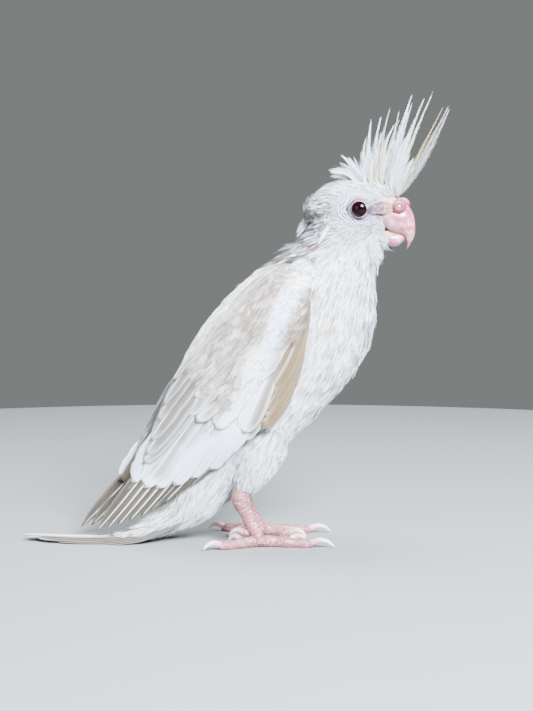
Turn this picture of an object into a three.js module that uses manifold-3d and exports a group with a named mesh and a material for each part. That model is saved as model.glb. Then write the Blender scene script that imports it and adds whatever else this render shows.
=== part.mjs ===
// A young cockatiel, life size, standing at rest on a level floor with its tail laid behind it.
// It faces +X, its left side is +Y and +Z is up. The origin is on the floor under the middle of the bird.
// All sizes are in millimetres and all angles in degrees.
import * as THREE from "three";
import { mergeVertices } from "three/addons/utils/BufferGeometryUtils.js";
import Module from "manifold-3d";

const wasm = await Module();
wasm.setup();

// Driving sizes
const GAP = 0.3; // left wherever two parts meet
const TAIL_LENGTH = 80; // the two middle tail feathers
const HEAD_TURN = -17; // the head looks a little to the bird's right
const HEAD_ROLL = 8; // and is tilted so that its left side is higher
const FOOT_SPREAD = 12.5; // from the middle of the bird to each foot
const MERGE_WITHIN = 1e-4; // points closer than this are one corner

const RIGHT = -1;
const LEFT = 1;
const { degToRad, lerp, clamp } = THREE.MathUtils;

/** A smooth function of one number through rows of [place, value, value...]. */
function through(rows) {
  const places = rows.map((row) => row[0]);
  const track = new THREE.CubicInterpolant(places, rows.flatMap((row) => row.slice(1)), rows[0].length - 1);
  return (place) => [...track.evaluate(clamp(place, places[0], places.at(-1)))];
}

/** A closed solid from a closed geometry, turned to face out. */
function solid(geometry) {
  const loose = geometry.index ? geometry.toNonIndexed() : geometry;
  const bare = new THREE.BufferGeometry().setAttribute("position", loose.getAttribute("position"));
  const merged = mergeVertices(bare, MERGE_WITHIN);
  const vertProperties = merged.attributes.position.array;
  const triVerts = new Uint32Array(merged.index.array);
  const build = () => new wasm.Manifold(new wasm.Mesh({ numProp: 3, vertProperties, triVerts }));
  const made = build();
  if (made.volume() > 0) return made;
  for (let i = 0; i < triVerts.length; i += 3) {
    [triVerts[i], triVerts[i + 1]] = [triVerts[i + 1], triVerts[i]];
  }
  return build();
}

/** A closed skin over rings of equally many points, with a pole at each end. */
function skin(rings, firstPole, lastPole) {
  const count = rings[0].length;
  const points = [firstPole, ...rings.flat(), lastPole];
  const top = 1 + (rings.length - 1) * count;
  const faces = [];
  for (let i = 0; i < count; i++) {
    const j = (i + 1) % count;
    faces.push(0, 1 + j, 1 + i, top + i, top + j, points.length - 1);
    for (let a = 1; a < top; a += count) {
      faces.push(a + i, a + j, a + j + count);
      faces.push(a + i, a + j + count, a + i + count);
    }
  }
  return solid(new THREE.BufferGeometry().setFromPoints(points).setIndex(faces));
}

/** A ball whose radius differs forwards, backwards, up, down and sideways, tipped about the Y axis. */
function egg({ x, y = 0, z, front, back, up, down, side, tip = 0, around = 20, rows = 12 }, grow = 0) {
  const ball = new THREE.SphereGeometry(1, around, rows);
  const at = ball.getAttribute("position");
  for (let i = 0; i < at.count; i++) {
    const [dx, dy, dz] = [at.getX(i), at.getY(i), at.getZ(i)];
    at.setXYZ(
      i,
      dx * (grow + (dx > 0 ? front : back)),
      dy * (grow + side),
      dz * (grow + (dz > 0 ? up : down)),
    );
  }
  return solid(ball.rotateY(degToRad(tip)).translate(x, y, z));
}

// How far a limb's end bulges, as a share of its girth there.
const LIMB_END = 0.45;

/**
 * A closed limb along a curve through the points. Each girth row is
 * [share of the way, half the width, half the height].
 */
function limb({ path, girths, rings = 9, sides = 10 }, grow = 0) {
  const curve = new THREE.CatmullRomCurve3(path);
  const girth = through(girths);
  const ringAt = (share) => {
    const centre = curve.getPointAt(share);
    const forward = curve.getTangentAt(share);
    const across = new THREE.Vector3(0, 1, 0).addScaledVector(forward, -forward.y).normalize();
    const upright = new THREE.Vector3().crossVectors(forward, across);
    const [wide, high] = girth(share);
    return Array.from({ length: sides }, (_, i) => {
      const angle = (2 * Math.PI * i) / sides;
      return centre
        .clone()
        .addScaledVector(across, (wide + grow) * Math.cos(angle))
        .addScaledVector(upright, (high + grow) * Math.sin(angle));
    });
  };
  const end = (share, sign) => {
    const [wide, high] = girth(share);
    const reach = LIMB_END * Math.min(wide, high) + grow;
    return curve.getPointAt(share).addScaledVector(curve.getTangentAt(share), sign * reach);
  };
  const all = Array.from({ length: rings }, (_, i) => ringAt(i / (rings - 1)));
  return skin(all, end(0, -1), end(1, 1));
}

/**
 * A feather's vane as a thin closed blade. Each row holds the points of its upper face and then
 * those of its lower face, both from edge to shaft to edge.
 */
function blade(rows) {
  const faces = [];
  const quad = (a, b, c, d) => faces.push(a, b, c, a, c, d);
  const last = 6 * (rows.length - 1);
  for (const k of [0, 1]) {
    quad(k + 1, k, k + 3, k + 4);
    quad(last + k, last + k + 1, last + k + 4, last + k + 3);
    for (let a = k; a < last; a += 6) {
      quad(a, a + 1, a + 7, a + 6);
      faces.push(a + 3, a + 10, a + 4, a + 3, a + 9, a + 10);
    }
  }
  for (let a = 0; a < last; a += 6) {
    quad(a, a + 6, a + 9, a + 3);
    quad(a + 8, a + 2, a + 5, a + 11);
  }
  return solid(new THREE.BufferGeometry().setFromPoints(rows.flat()).setIndex(faces));
}

/** How the half width of a vane changes on the way to its tip, for the kinds of feather. */
const ROUNDED = through([[0, 0.55], [0.35, 0.95], [0.8, 1], [0.93, 0.8], [1, 0.42]]);
const POINTED = through([[0, 0.6], [0.3, 1], [0.65, 0.92], [0.88, 0.6], [1, 0.2]]);
const NARROW = through([[0, 0.5], [0.4, 0.9], [0.75, 1], [0.92, 0.65], [1, 0.2]]);

/** The piece of a solid that has the most volume. */
function largest(made) {
  return made.decompose().reduce((best, piece) => (piece.volume() > best.volume() ? piece : best));
}

/** The two sides of a solid, parted by a thin cut: first the side that the normal points to. */
function partedAt(whole, { at: [x, z], normal: [nx, nz] }) {
  const size = Math.hypot(nx, nz);
  const place = (x * nx + z * nz) / size;
  return [
    whole.trimByPlane([nx / size, 0, nz / size], place + GAP / 2),
    whole.trimByPlane([-nx / size, 0, -nz / size], GAP / 2 - place),
  ];
}

const mirrored = (made) => made.mirror([0, 1, 0]);

// Trunk: the flesh and plumage from the root of the tail to the throat.
// Each row is [station, x, z, lean of the section towards the back, half its depth, half its width].
const trunkAt = through([
  [0, -37.2, 3.9, 150, 3.6, 4.6],
  [1, -26, 8.4, 148, 7.6, 7.2],
  [2, -17.2, 14.9, 145, 10.8, 9.8],
  [3, -12.2, 24, 152, 14.9, 13],
  [4, -6, 35.2, 159, 19.4, 16],
  [5, 1.4, 47.4, 161, 23.8, 18.5],
  [6, 10, 60.4, 162, 27.2, 20.5],
  [7, 18.6, 72.6, 163, 29.6, 22],
  [8, 26.4, 85.2, 164, 30, 22],
  [9, 32.4, 97, 166, 26.8, 20.5],
  [10, 37, 106, 168, 21.4, 18],
  [11, 41, 112.4, 170, 18, 15.6],
  [12, 44.6, 118.4, 171, 16.6, 14],
  [13, 47, 125, 174, 15.5, 13],
]);
const TRUNK_LAST = 13;
const TRUNK_RINGS = 22;
const TRUNK_SIDES = 24;
const TRUNK_ENDS = { tail: [-42.5, 1.9], throat: [48, 132] }; // x and z of each
const THROAT_CUT = { at: [46, 120], normal: [0.08, 1] };
const NECK_CUT = { at: [41, 112], normal: [0.42, 0.91] };

/** The trunk, made fatter by the given amount to leave a gap round it. */
function trunk(grow = 0) {
  const ringAt = (station) => {
    const [x, z, lean, deep, wide] = trunkAt(station);
    const towardsBack = new THREE.Vector3(Math.cos(degToRad(lean)), 0, Math.sin(degToRad(lean)));
    return Array.from({ length: TRUNK_SIDES }, (_, i) => {
      const angle = (2 * Math.PI * i) / TRUNK_SIDES;
      return new THREE.Vector3(x, (wide + grow) * Math.sin(angle), z).addScaledVector(
        towardsBack,
        (deep + grow) * Math.cos(angle),
      );
    });
  };
  const rings = Array.from({ length: TRUNK_RINGS }, (_, i) => ringAt((TRUNK_LAST * i) / (TRUNK_RINGS - 1)));
  const [tailX, tailZ] = TRUNK_ENDS.tail;
  const [throatX, throatZ] = TRUNK_ENDS.throat;
  return skin(rings, new THREE.Vector3(tailX - grow, 0, tailZ), new THREE.Vector3(throatX, 0, throatZ));
}

// Head: everything on it is made looking straight ahead and then turned about the neck.
const HEAD_PIVOT = [48, 0, 128];
const HEAD = {
  ...{ x: 48, z: 131.6 },
  ...{ front: 16.9, back: 18.4, up: 14, down: 14.8, side: 13.4 },
  ...{ around: 24, rows: 14 },
};
const CHEEK = {
  ...{ x: 44, z: 126 },
  ...{ front: 15, back: 13, up: 11, down: 10.5, side: 14.2 },
  ...{ around: 18, rows: 10 },
};

/** A solid of the head turned with it. */
function turned(made) {
  const [x, y, z] = HEAD_PIVOT;
  return made.translate([-x, -y, -z]).rotate([HEAD_ROLL, 0, HEAD_TURN]).translate(HEAD_PIVOT);
}

const skull = (grow = 0) => egg(HEAD, grow).add(egg(CHEEK, grow));

const EYE = { x: 53.6, y: 10.2, z: 133.9, radius: 3.8 };
const LID = { radius: 3.7, thickness: 0.8, forward: 0.4, outward: 2, turn: -10, taller: 1.1 };

function eyeball(side, grow = 0) {
  const ball = new THREE.IcosahedronGeometry(EYE.radius + grow, 2);
  return solid(ball.translate(EYE.x, side * EYE.y, EYE.z));
}

/** The ring of the two lids, which lies on the head round the eyeball. */
function lidRing(side, grow = 0) {
  const ring = new THREE.TorusGeometry(LID.radius, LID.thickness + grow, 6, 16).scale(1, 1, LID.taller);
  ring.rotateX(degToRad(90)).rotateZ(degToRad(side * LID.turn));
  return solid(ring.translate(EYE.x + LID.forward, side * (EYE.y + LID.outward), EYE.z));
}

// Bill: each row is [station, x of the ridge, z of the ridge, x of the edge, z of the edge, half the width].
const upperBillAt = through([
  [0, 61.5, 136.5, 57.5, 127, 5.8],
  [1, 66.5, 136, 61.5, 125.4, 6.2],
  [2, 70.6, 133.6, 64.8, 123.4, 5.6],
  [3, 72.6, 129.6, 67.8, 123, 4.4],
  [4, 73.1, 124.8, 69.3, 121.4, 3],
  [5, 72.2, 120.8, 69.8, 119, 1.5],
]);
const lowerBillAt = through([
  [0, 58.5, 125.4, 58.5, 118.6, 5],
  [1, 63, 125, 62.6, 118.2, 4.9],
  [2, 66.6, 124, 65.8, 118.1, 4],
  [3, 68.8, 122.8, 68, 119.6, 2.4],
]);

const BILL_SIDES = 14;
const UPPER_BILL = { sectionAt: upperBillAt, stations: 5, tip: [69.8, 117], tipAway: [0, -1] };
const LOWER_BILL = { sectionAt: lowerBillAt, stations: 3, tip: [69.7, 121.2], tipAway: [1, 0] };

/** Half a bill: a horn sheath whose sections run from its ridge to its edge. */
function billHalf({ sectionAt, stations, tip, tipAway }, grow = 0) {
  const rings = Array.from({ length: 2 * stations + 1 }, (_, i) => {
    const [ridgeX, ridgeZ, edgeX, edgeZ, wide] = sectionAt(i / 2);
    const half = new THREE.Vector3(ridgeX - edgeX, 0, ridgeZ - edgeZ).multiplyScalar(0.5);
    const centre = new THREE.Vector3((ridgeX + edgeX) / 2, 0, (ridgeZ + edgeZ) / 2);
    const stretch = 1 + grow / half.length();
    return Array.from({ length: BILL_SIDES }, (_, k) => {
      const angle = (2 * Math.PI * k) / BILL_SIDES;
      return centre
        .clone()
        .addScaledVector(half, stretch * Math.cos(angle))
        .add(new THREE.Vector3(0, (wide + grow) * Math.sin(angle), 0));
    });
  });
  const [ridgeX, ridgeZ, edgeX, edgeZ] = sectionAt(0);
  const root = new THREE.Vector3((ridgeX + edgeX) / 2 - 1, 0, (ridgeZ + edgeZ) / 2);
  const end = new THREE.Vector3(tip[0] + grow * tipAway[0], 0, tip[1] + grow * tipAway[1]);
  return skin(rings, root, end);
}

const CERE = { x: 67.6, z: 133.9, radius: 2.9, apart: 3.3, back: 4, side: 2.7 };
const CERE_SADDLE = {
  ...{ x: 67, z: 134.5 },
  ...{ front: 2.6, back: 4, up: 2.2, down: 3, side: 3.6 },
  ...{ around: 10, rows: 6 },
};
const NOSTRIL = { radius: 0.85, depth: 1.6, narrowing: 0.6, forward: 0.9, outward: 2.7, up: 0.5 };

/** The two fleshy bulbs over the bill and the saddle between them. */
function cereBody(grow = 0) {
  const { x, z, radius, apart, back, side: wide } = CERE;
  const round = { front: radius, back, up: radius, down: radius, side: wide };
  const bulb = (side) => egg({ x, y: side * apart, z, ...round, around: 12, rows: 8 }, grow);
  return bulb(RIGHT).add(bulb(LEFT)).add(egg(CERE_SADDLE, grow));
}

/** The blind hole of one nostril. */
function nostril(side) {
  const { radius, depth, narrowing, forward, outward, up } = NOSTRIL;
  const hole = new THREE.CylinderGeometry(radius, radius * narrowing, 2 * depth, 10);
  if (side === RIGHT) hole.rotateX(Math.PI);
  return solid(hole.translate(CERE.x + forward, side * (CERE.apart + outward), CERE.z + up));
}

const CREST_PAD = {
  ...{ x: 61.2, z: 139.4, tip: 22 },
  ...{ front: 7, back: 8.4, up: 5, down: 5, side: 5.6 },
  ...{ around: 14, rows: 8 },
};

const CREST_FEATHERS = 20;
const CREST_HALF_WIDTH = 1.35;
const CREST_THICKNESS = 0.6;
const CREST_SHAFT = 0.2; // how far the middle stands up
const CREST_STATIONS = 4;
const CREST_REACH = [0.72, 0.98]; // the shortest and longest, against the full line to the tip
const CREST_ROOT_SIDE = [0.3, 3]; // how far from the middle the roots stand
const CREST_TIP_SIDE = [0.5, 5.5];
const CREST_TWIST = [8, 118]; // how far a vane is turned about its shaft, in degrees
const CREST_SEED = 97;

// From the front of the crest to its back: each row is
// [share, x and z of the root, x and z of the tip, sag backwards].
const crestAt = through([
  [0, 66.8, 138.8, 87.3, 170, 0],
  [0.22, 65.6, 140.6, 81, 172.9, 0.8],
  [0.44, 63.6, 141.6, 73.2, 173.5, 1],
  [0.6, 61.2, 142.2, 66.5, 169.6, 1.5],
  [0.76, 58.6, 142.2, 58.9, 166, 2],
  [0.9, 56.6, 141.6, 53.5, 160.8, 1],
  [1, 55, 140.6, 44.4, 151.3, -1],
]);

/** One feather of the crest, counted from the front. */
function crestFeather(index) {
  const draw = (salt) => THREE.MathUtils.seededRandom(CREST_SEED * index + salt + 1);
  const [rootX, rootZ, tipX, tipZ, sag] = crestAt(index / (CREST_FEATHERS - 1));
  const side = index % 2 ? LEFT : RIGHT;
  const reach = index % 5 === 0 ? 1 : lerp(...CREST_REACH, draw(1));
  const root = new THREE.Vector3(rootX, side * lerp(...CREST_ROOT_SIDE, draw(2)), rootZ - 1);
  const full = new THREE.Vector3(tipX, side * lerp(...CREST_TIP_SIDE, draw(3)), tipZ);
  const tip = root.clone().lerp(full, reach);
  const bend = root.clone().lerp(tip, 0.5).add(new THREE.Vector3(-sag, side * 0.8 * draw(4), 0.4 * sag));
  const curve = new THREE.CatmullRomCurve3([root, bend, tip]);
  const twist = degToRad(lerp(...CREST_TWIST, draw(5)));
  return blade(
    Array.from({ length: CREST_STATIONS }, (_, i) => {
      const share = i / (CREST_STATIONS - 1);
      const forward = curve.getTangentAt(share);
      const flat = new THREE.Vector3(0, 1, 0).addScaledVector(forward, -forward.y).normalize();
      const across = flat.applyAxisAngle(forward, twist);
      const face = new THREE.Vector3().crossVectors(across, forward);
      const half = CREST_HALF_WIDTH * NARROW(share)[0];
      return [1, -1].flatMap((up) =>
        [-1, 0, 1].map((k) =>
          curve
            .getPointAt(share)
            .addScaledVector(across, k * half)
            .addScaledVector(face, (up * CREST_THICKNESS) / 2 + (k ? 0 : CREST_SHAFT)),
        ),
      );
    }),
  );
}

// Wing: laid out flat as seen from its side, by s, how far it is from the wrist towards the tip, and
// t, how far it is from that line towards the back. It is then bent round the body.
const WRIST = new THREE.Vector2(28.4, 103.6);
const WING_SLOPE = 50.3;
const ALONG = new THREE.Vector2(-Math.cos(degToRad(WING_SLOPE)), -Math.sin(degToRad(WING_SLOPE)));
const ACROSS = new THREE.Vector2(ALONG.y, -ALONG.x);

// Each row is [s, half the body's width there, t of its back, t of its widest place].
const wingBendAt = through([
  [-8, 19, 12, -6],
  [10, 25.6, 17.8, -9],
  [35, 26.2, 19.4, -10],
  [60, 23.2, 15.2, -11],
  [85, 15.5, 9.6, -9],
  [105, 9.6, 5.7, -6],
  [130, 6, 3, -4],
]);
const WING_WRAP = 1.45; // the furthest, in radians, that the wing goes round from the body's side to its back

/** A place on the wing's outer face, where t is measured round the bend from the line to the tip. */
function wingFace(s, t) {
  const [wide, back, middle] = wingBendAt(s);
  const reach = back - middle;
  const angle = clamp((t - middle) / reach, -WING_WRAP, WING_WRAP);
  const across = middle + reach * Math.sin(angle);
  return new THREE.Vector3(
    WRIST.x + ALONG.x * s + ACROSS.x * across,
    RIGHT * wide * Math.cos(angle),
    WRIST.y + ALONG.y * s + ACROSS.y * across,
  );
}

/** A point of the right wing at the given height off its outer face. */
function wingPoint(s, t, height) {
  const step = 0.5;
  const alongS = wingFace(s + step, t).sub(wingFace(s - step, t));
  const alongT = wingFace(s, t + step).sub(wingFace(s, t - step));
  return wingFace(s, t).addScaledVector(alongS.cross(alongT).normalize(), -height);
}

const VANE_UNDER = 0.7; // how far a vane's lower face lies under the wing's outer face
const VANE_SINK = 0.2; // how far its root lies under it
const VANE_TIP_RISE = 0.35; // how much higher than its tier's height a tip stands
const VANE_TILT = 0.35; // how far the lower edge is turned up and the upper one down
const VANE_SHAFT = 0.15; // how far the middle stands up
const VANE_SHARES = [0, 0.72, 1]; // where along a vane its sections are
const TIER_JITTER = 2.4;
const TIER_SEED = 31;

// The smooth form under the feathers.
const WING_FORM = {
  first: -4,
  last: 112,
  sunk: 0.2,
  columns: 7,
  stations: 13,
  rim: 0.6, // its thickness along its edges
  thick: [7, 1], // its thickness in the middle, at the wrist and towards the tip
  thinBy: 95, // where it has become as thin as that
};

// How each wing is laid: swung about its wrist, then shifted along its length and towards the back.
const RIGHT_FOLD = { swing: 0, slide: 0, shift: 0 };
const LEFT_FOLD = { swing: 4.6, slide: 6.4, shift: -4.8 };

// The folded wing's outline: each row is [s, lower edge, upper edge].
const wingEdgesAt = through([
  [-4, -1, 8],
  [2, -4.6, 19],
  [14, -11.5, 25],
  [28, -17.5, 27],
  [46, -21, 25],
  [66, -18.4, 20],
  [88, -14, 13],
  [104, -7.6, 7],
  [124, -2, 2],
]);

/** The wing as one smooth form from the wrist towards the tip. */
function wingForm() {
  const { first, last, sunk, columns, stations, rim, thick, thinBy } = WING_FORM;
  const thickness = (s) => lerp(...thick, clamp(s / thinBy, 0, 1));
  const rings = Array.from({ length: stations }, (_, i) => {
    const s = lerp(first, last, i / (stations - 1));
    const [low, high] = wingEdgesAt(s);
    const row = (reversed) =>
      Array.from({ length: columns }, (_, k) => {
        const share = (reversed ? columns - 1 - k : k) / (columns - 1);
        const edge = 1 - Math.abs(2 * share - 1) ** 4;
        const depth = reversed ? lerp(rim, thickness(s), edge) : 0;
        return wingPoint(s, lerp(low, high, share), -sunk - depth);
      });
    return [...row(false), ...row(true)];
  });
  const pole = (s, beyond) => {
    const [low, high] = wingEdgesAt(s);
    return wingPoint(s + beyond, (low + high) / 2, -sunk - thickness(s) / 2);
  };
  return skin(rings, pole(first, -1.5), pole(last, 2));
}

/** One feather of the right wing, from its sunk root to its raised tip. */
function wingFeather({ from, to, half, height, shape = ROUNDED, bow = 0 }) {
  const [ds, dt] = [to[0] - from[0], to[1] - from[1]];
  const length = Math.hypot(ds, dt);
  return blade(
    VANE_SHARES.map((share) => {
      const off = bow * Math.sin(Math.PI * share);
      const s = lerp(from[0], to[0], share) - (off * dt) / length;
      const t = lerp(from[1], to[1], share) + (off * ds) / length;
      const wide = half * shape(share)[0];
      const rise = lerp(-VANE_SINK, height + VANE_TIP_RISE, clamp(1.4 * share, 0, 1));
      return [1, -1].flatMap((up) =>
        [-1, 0, 1].map((k) => {
          const lift = up > 0 ? rise - k * VANE_TILT + (k ? 0 : VANE_SHAFT) : -VANE_UNDER;
          return wingPoint(s - (k * wide * dt) / length, t + (k * wide * ds) / length, lift);
        }),
      );
    }),
  );
}

/** A row of wing feathers whose roots and tips run along tracks, from the lower edge to the upper one. */
function wingTier({ count, rootAt, tipAt, ...rest }) {
  const draw = (index, salt) => THREE.MathUtils.seededRandom(TIER_SEED * index + salt + count);
  const jitter = (index, salt) => TIER_JITTER * (draw(index, salt) - 0.5);
  return Array.from({ length: count }, (_, i) => {
    const share = i / (count - 1);
    const [rootS, rootT] = rootAt(share);
    const [tipS, tipT] = tipAt(share);
    const to = [tipS + jitter(i, 5), tipT + 0.3 * jitter(i, 11)];
    return wingFeather({ from: [rootS, rootT], to, ...rest });
  });
}

// The tiers of wing feathers, each counted from the lower edge of the folded wing up to its back edge.
const WING_TIERS = [
  {
    count: 6,
    rootAt: through([[0, 62, -14], [1, 84, 2]]),
    tipAt: through([[0, 92, -14.4], [0.4, 109, -9.2], [0.75, 121.5, -3.6], [1, 128.4, 0.2]]),
    half: 3.5,
    height: 0.1,
    shape: POINTED,
    bow: -1,
  },
  {
    count: 7,
    rootAt: through([[0, 36, -17], [0.5, 50, -8], [1, 56, 5]]),
    tipAt: through([[0, 62, -21.4], [0.3, 80, -17.8], [0.6, 95, -11.4], [0.85, 103, -3.4], [1, 105, 2.2]]),
    half: 5,
    height: 0.5,
  },
  {
    count: 3,
    rootAt: through([[0, 38, 2], [1, 22, 18]]),
    tipAt: through([[0, 98, 6.5], [0.5, 89, 12], [1, 74, 19]]),
    half: 5,
    height: 0.95,
    bow: 1.5,
  },
  {
    count: 3,
    rootAt: through([[0, 22, -13], [1, 10, -6]]),
    tipAt: through([[0, 53, -21.8], [0.5, 43, -20.6], [1, 28, -15.4]]),
    half: 3,
    height: 0.7,
    shape: POINTED,
    bow: -2,
  },
  {
    count: 6,
    rootAt: through([[0, 26, -14], [0.5, 30, -2], [1, 26, 12]]),
    tipAt: through([[0, 54, -17.4], [0.5, 62, -3.4], [1, 56, 14]]),
    half: 4.9,
    height: 1.05,
  },
  {
    count: 5,
    rootAt: through([[0, 10, -7], [0.5, 15, 2], [1, 12, 13]]),
    tipAt: through([[0, 33, -13], [0.5, 41, -1], [1, 36, 14]]),
    half: 4.8,
    height: 1.35,
  },
  {
    count: 3,
    rootAt: through([[0, -1, 3], [1, 2, 12]]),
    tipAt: through([[0, 19, -3.4], [1, 24, 12]]),
    half: 4.2,
    height: 1.5,
  },
  {
    count: 5,
    rootAt: through([[0, 28, 17], [0.5, 12, 19], [1, -3, 15]]),
    tipAt: through([[0, 58, 22], [0.5, 42, 26], [1, 18, 24]]),
    half: 4.6,
    height: 1.6,
    bow: 0.8,
  },
];

/** A whole folded wing. */
function wing(side) {
  const { swing, slide, shift } = side === LEFT ? LEFT_FOLD : RIGHT_FOLD;
  const feathers = WING_TIERS.flatMap(wingTier);
  const kept = wasm.Manifold.union([wingForm(), ...feathers]).trimByPlane([0, -1, 0], GAP);
  const sided = side === LEFT ? mirrored(kept) : kept;
  return sided
    .translate([-WRIST.x, 0, -WRIST.y])
    .rotate([0, swing, 0])
    .translate([
      WRIST.x + slide * ALONG.x + shift * ACROSS.x,
      0,
      WRIST.y + slide * ALONG.y + shift * ACROSS.y,
    ]);
}

// Tail: laid back along the floor. Each row is [distance from the root, x, z of the underside].
const tailLineAt = through([
  [0, -7.6, 15],
  [12, -18, 8.9],
  [22, -27, 4.6],
  [32, -36.2, 1.1],
  [40, -44.2, 0],
  [TAIL_LENGTH, -84.2, 0],
]);

const TAIL_CUT = { at: [-27, 8], normal: [0.87, 0.5] };

// The pairs of tail feathers, from the middle one out: each row is
// [pair, length, y of the root, y of the tip].
const TAIL_PAIRS = 6;
const tailPairAt = through([
  [0, 80, 0.9, 1.1],
  [1, 78, 1.7, 2.7],
  [2, 73, 2.5, 4.1],
  [3, 67, 3.3, 5.4],
  [4, 60, 4.1, 6.5],
  [5, 53, 4.9, 7.5],
]);
const TAIL_FEATHER_START = 16; // how far from the root the vanes begin
const TAIL_STATIONS = 5;
const TAIL_SHAFT = 0.15; // how far the middle of a vane stands up
const TAIL_HALF_WIDTH = 3.7;
const TAIL_STEP = 0.42; // how much higher each pair lies than the next one out
const TAIL_THICKNESS = 0.65;
const TAIL_ROOM = 1; // how far the wings stay off it

/** A place on the laid tail, the given distance from its root along the floor line. */
function tailPoint(far, y, height) {
  const [x, z] = tailLineAt(far);
  return new THREE.Vector3(x, y, z + height);
}

/** One tail feather. */
function tailFeather(pair, side, grow) {
  const [length, rootY, tipY] = tailPairAt(pair);
  return blade(
    Array.from({ length: TAIL_STATIONS }, (_, i) => {
      const share = i / (TAIL_STATIONS - 1);
      const far = lerp(TAIL_FEATHER_START, length + grow, share);
      const y = side * (lerp(rootY, tipY, share) - (side === LEFT ? 0.5 : 0));
      const wide = TAIL_HALF_WIDTH * POINTED(share)[0] + grow;
      const base = (TAIL_PAIRS - 1 - pair) * TAIL_STEP * lerp(1, 0.7, share) + (side === LEFT ? 0.2 : 0);
      return [1, -1].flatMap((up) =>
        [-1, 0, 1].map((k) => {
          const height = base + (up > 0 ? TAIL_THICKNESS + (k ? 0 : TAIL_SHAFT) + grow : -grow);
          return tailPoint(far, y + k * wide, height);
        }),
      );
    }),
  );
}

const TAIL_ROOT = {
  path: [0, 12, 22, 32, 44].map((far) => tailPoint(far, 0, 1.5)),
  girths: [[0, 6, 3], [0.5, 5.6, 2.6], [1, 4, 1]],
  rings: 7,
  sides: 12,
};

/** The root of the tail under its coverts, and the feathers that fan out of it. */
function tailForm(grow = 0) {
  const root = limb(TAIL_ROOT, grow);
  const feathers = [];
  for (let pair = 0; pair < TAIL_PAIRS; pair++) {
    feathers.push(tailFeather(pair, RIGHT, grow), tailFeather(pair, LEFT, grow));
  }
  return wasm.Manifold.union([root, ...feathers]);
}

// Leg: made for the right side. Feathered thigh, bare shank, then four toes, two forwards and two back.
const at = (x, y, z) => new THREE.Vector3(x, RIGHT * y, z);
const THIGH = {
  path: [at(12, 7, 52), at(13, 11, 42), at(9, 12.2, 31), at(4.2, 11.6, 22.6)],
  girths: [[0, 6, 7], [0.4, 8.2, 10], [0.72, 6.6, 8], [1, 4.1, 4.3]],
  rings: 9,
  sides: 16,
};
const SHANK = {
  path: [at(4, 11.5, 23), at(3.6, 11.6, 19.6), at(6.4, 12, 12), at(10.6, FOOT_SPREAD, 3.6)],
  girths: [[0, 3, 3], [0.2, 3.3, 3.6], [0.5, 2.3, 2.6], [0.85, 2.7, 2.7], [1, 3.2, 2.4]],
  rings: 7,
  sides: 10,
};
const FOOT_MIDDLE = { x: 11, y: FOOT_SPREAD, z: 2.2 };
const TOES = [
  { name: "outer_front", aim: -6, length: 21, thick: 2.25, claw: 9, pads: 3 },
  { name: "inner_front", aim: 24, length: 14, thick: 2.1, claw: 7, pads: 2 },
  { name: "outer_back", aim: -156, length: 17, thick: 2.15, claw: 7, pads: 3 },
  { name: "inner_back", aim: 148, length: 9, thick: 1.9, claw: 6, pads: 1 },
];

/** A place along a toe's heading, the given distance from the foot's middle. */
function toePoint(aim, far, high) {
  const turn = degToRad(aim);
  return at(FOOT_MIDDLE.x + far * Math.cos(turn), FOOT_MIDDLE.y - far * Math.sin(turn), high);
}

const TOE_LINE = [[0, FOOT_MIDDLE.z], [0.35, 2], [0.7, 1.5], [1, 1.4]]; // share of the length, and height
const TOE_TAPER = 0.22;
const TOE_WAIST = 0.84; // how thin a toe is between its pads
const CLAW_LINE = [[0.35, 2.9], [0.72, 2.2], [0.95, 0.5]]; // share of the claw, and height
const CLAW_ROOT = { inside: 0.6, high: 1.9 };
const CLAW_GIRTHS = [[0, 1.15, 1.35], [0.5, 0.8, 1], [1, 0.3, 0.35]];

/** The curve of a toe on the floor: knuckled, swelling at each pad. */
function toe({ aim, length, thick, pads }, grow = 0) {
  const path = TOE_LINE.map(([share, high]) => toePoint(aim, share * length, high));
  const girths = Array.from({ length: 2 * pads + 2 }, (_, i) => {
    const share = i / (2 * pads + 1);
    const swell = i % 2 ? 1 : TOE_WAIST;
    const girth = thick * swell * (1 - TOE_TAPER * share);
    return [share, girth, girth];
  });
  return limb({ path, girths, rings: 2 * pads + 3, sides: 8 }, grow);
}

/** A curved claw that starts in the end of its toe and comes down to the floor. */
function claw({ aim, length, claw: reach }) {
  const path = [
    toePoint(aim, length - CLAW_ROOT.inside, CLAW_ROOT.high),
    ...CLAW_LINE.map(([share, high]) => toePoint(aim, length + share * reach, high)),
  ];
  return limb({ path, girths: CLAW_GIRTHS, rings: 5, sides: 6 });
}

/** Cuts off what reaches under the floor, which leaves the flats that the bird stands on. */
const onFloor = (made) => made.trimByPlane([0, 0, 1], 0);

// Materials
const finish = (color, roughness) => new THREE.MeshStandardMaterial({ color, roughness, metalness: 0 });
const FINISH = {
  plumage: finish("#f1efea", 0.85),
  cream: finish("#e2d8c8", 0.85),
  quill: finish("#cfc2ae", 0.7),
  bill: finish("#dba9a4", 0.35),
  cere: finish("#d99c9a", 0.5),
  skin: finish("#cfa39c", 0.6),
  claw: finish("#cdb9c2", 0.3),
  eye: finish("#1a0508", 0.08),
};

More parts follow.
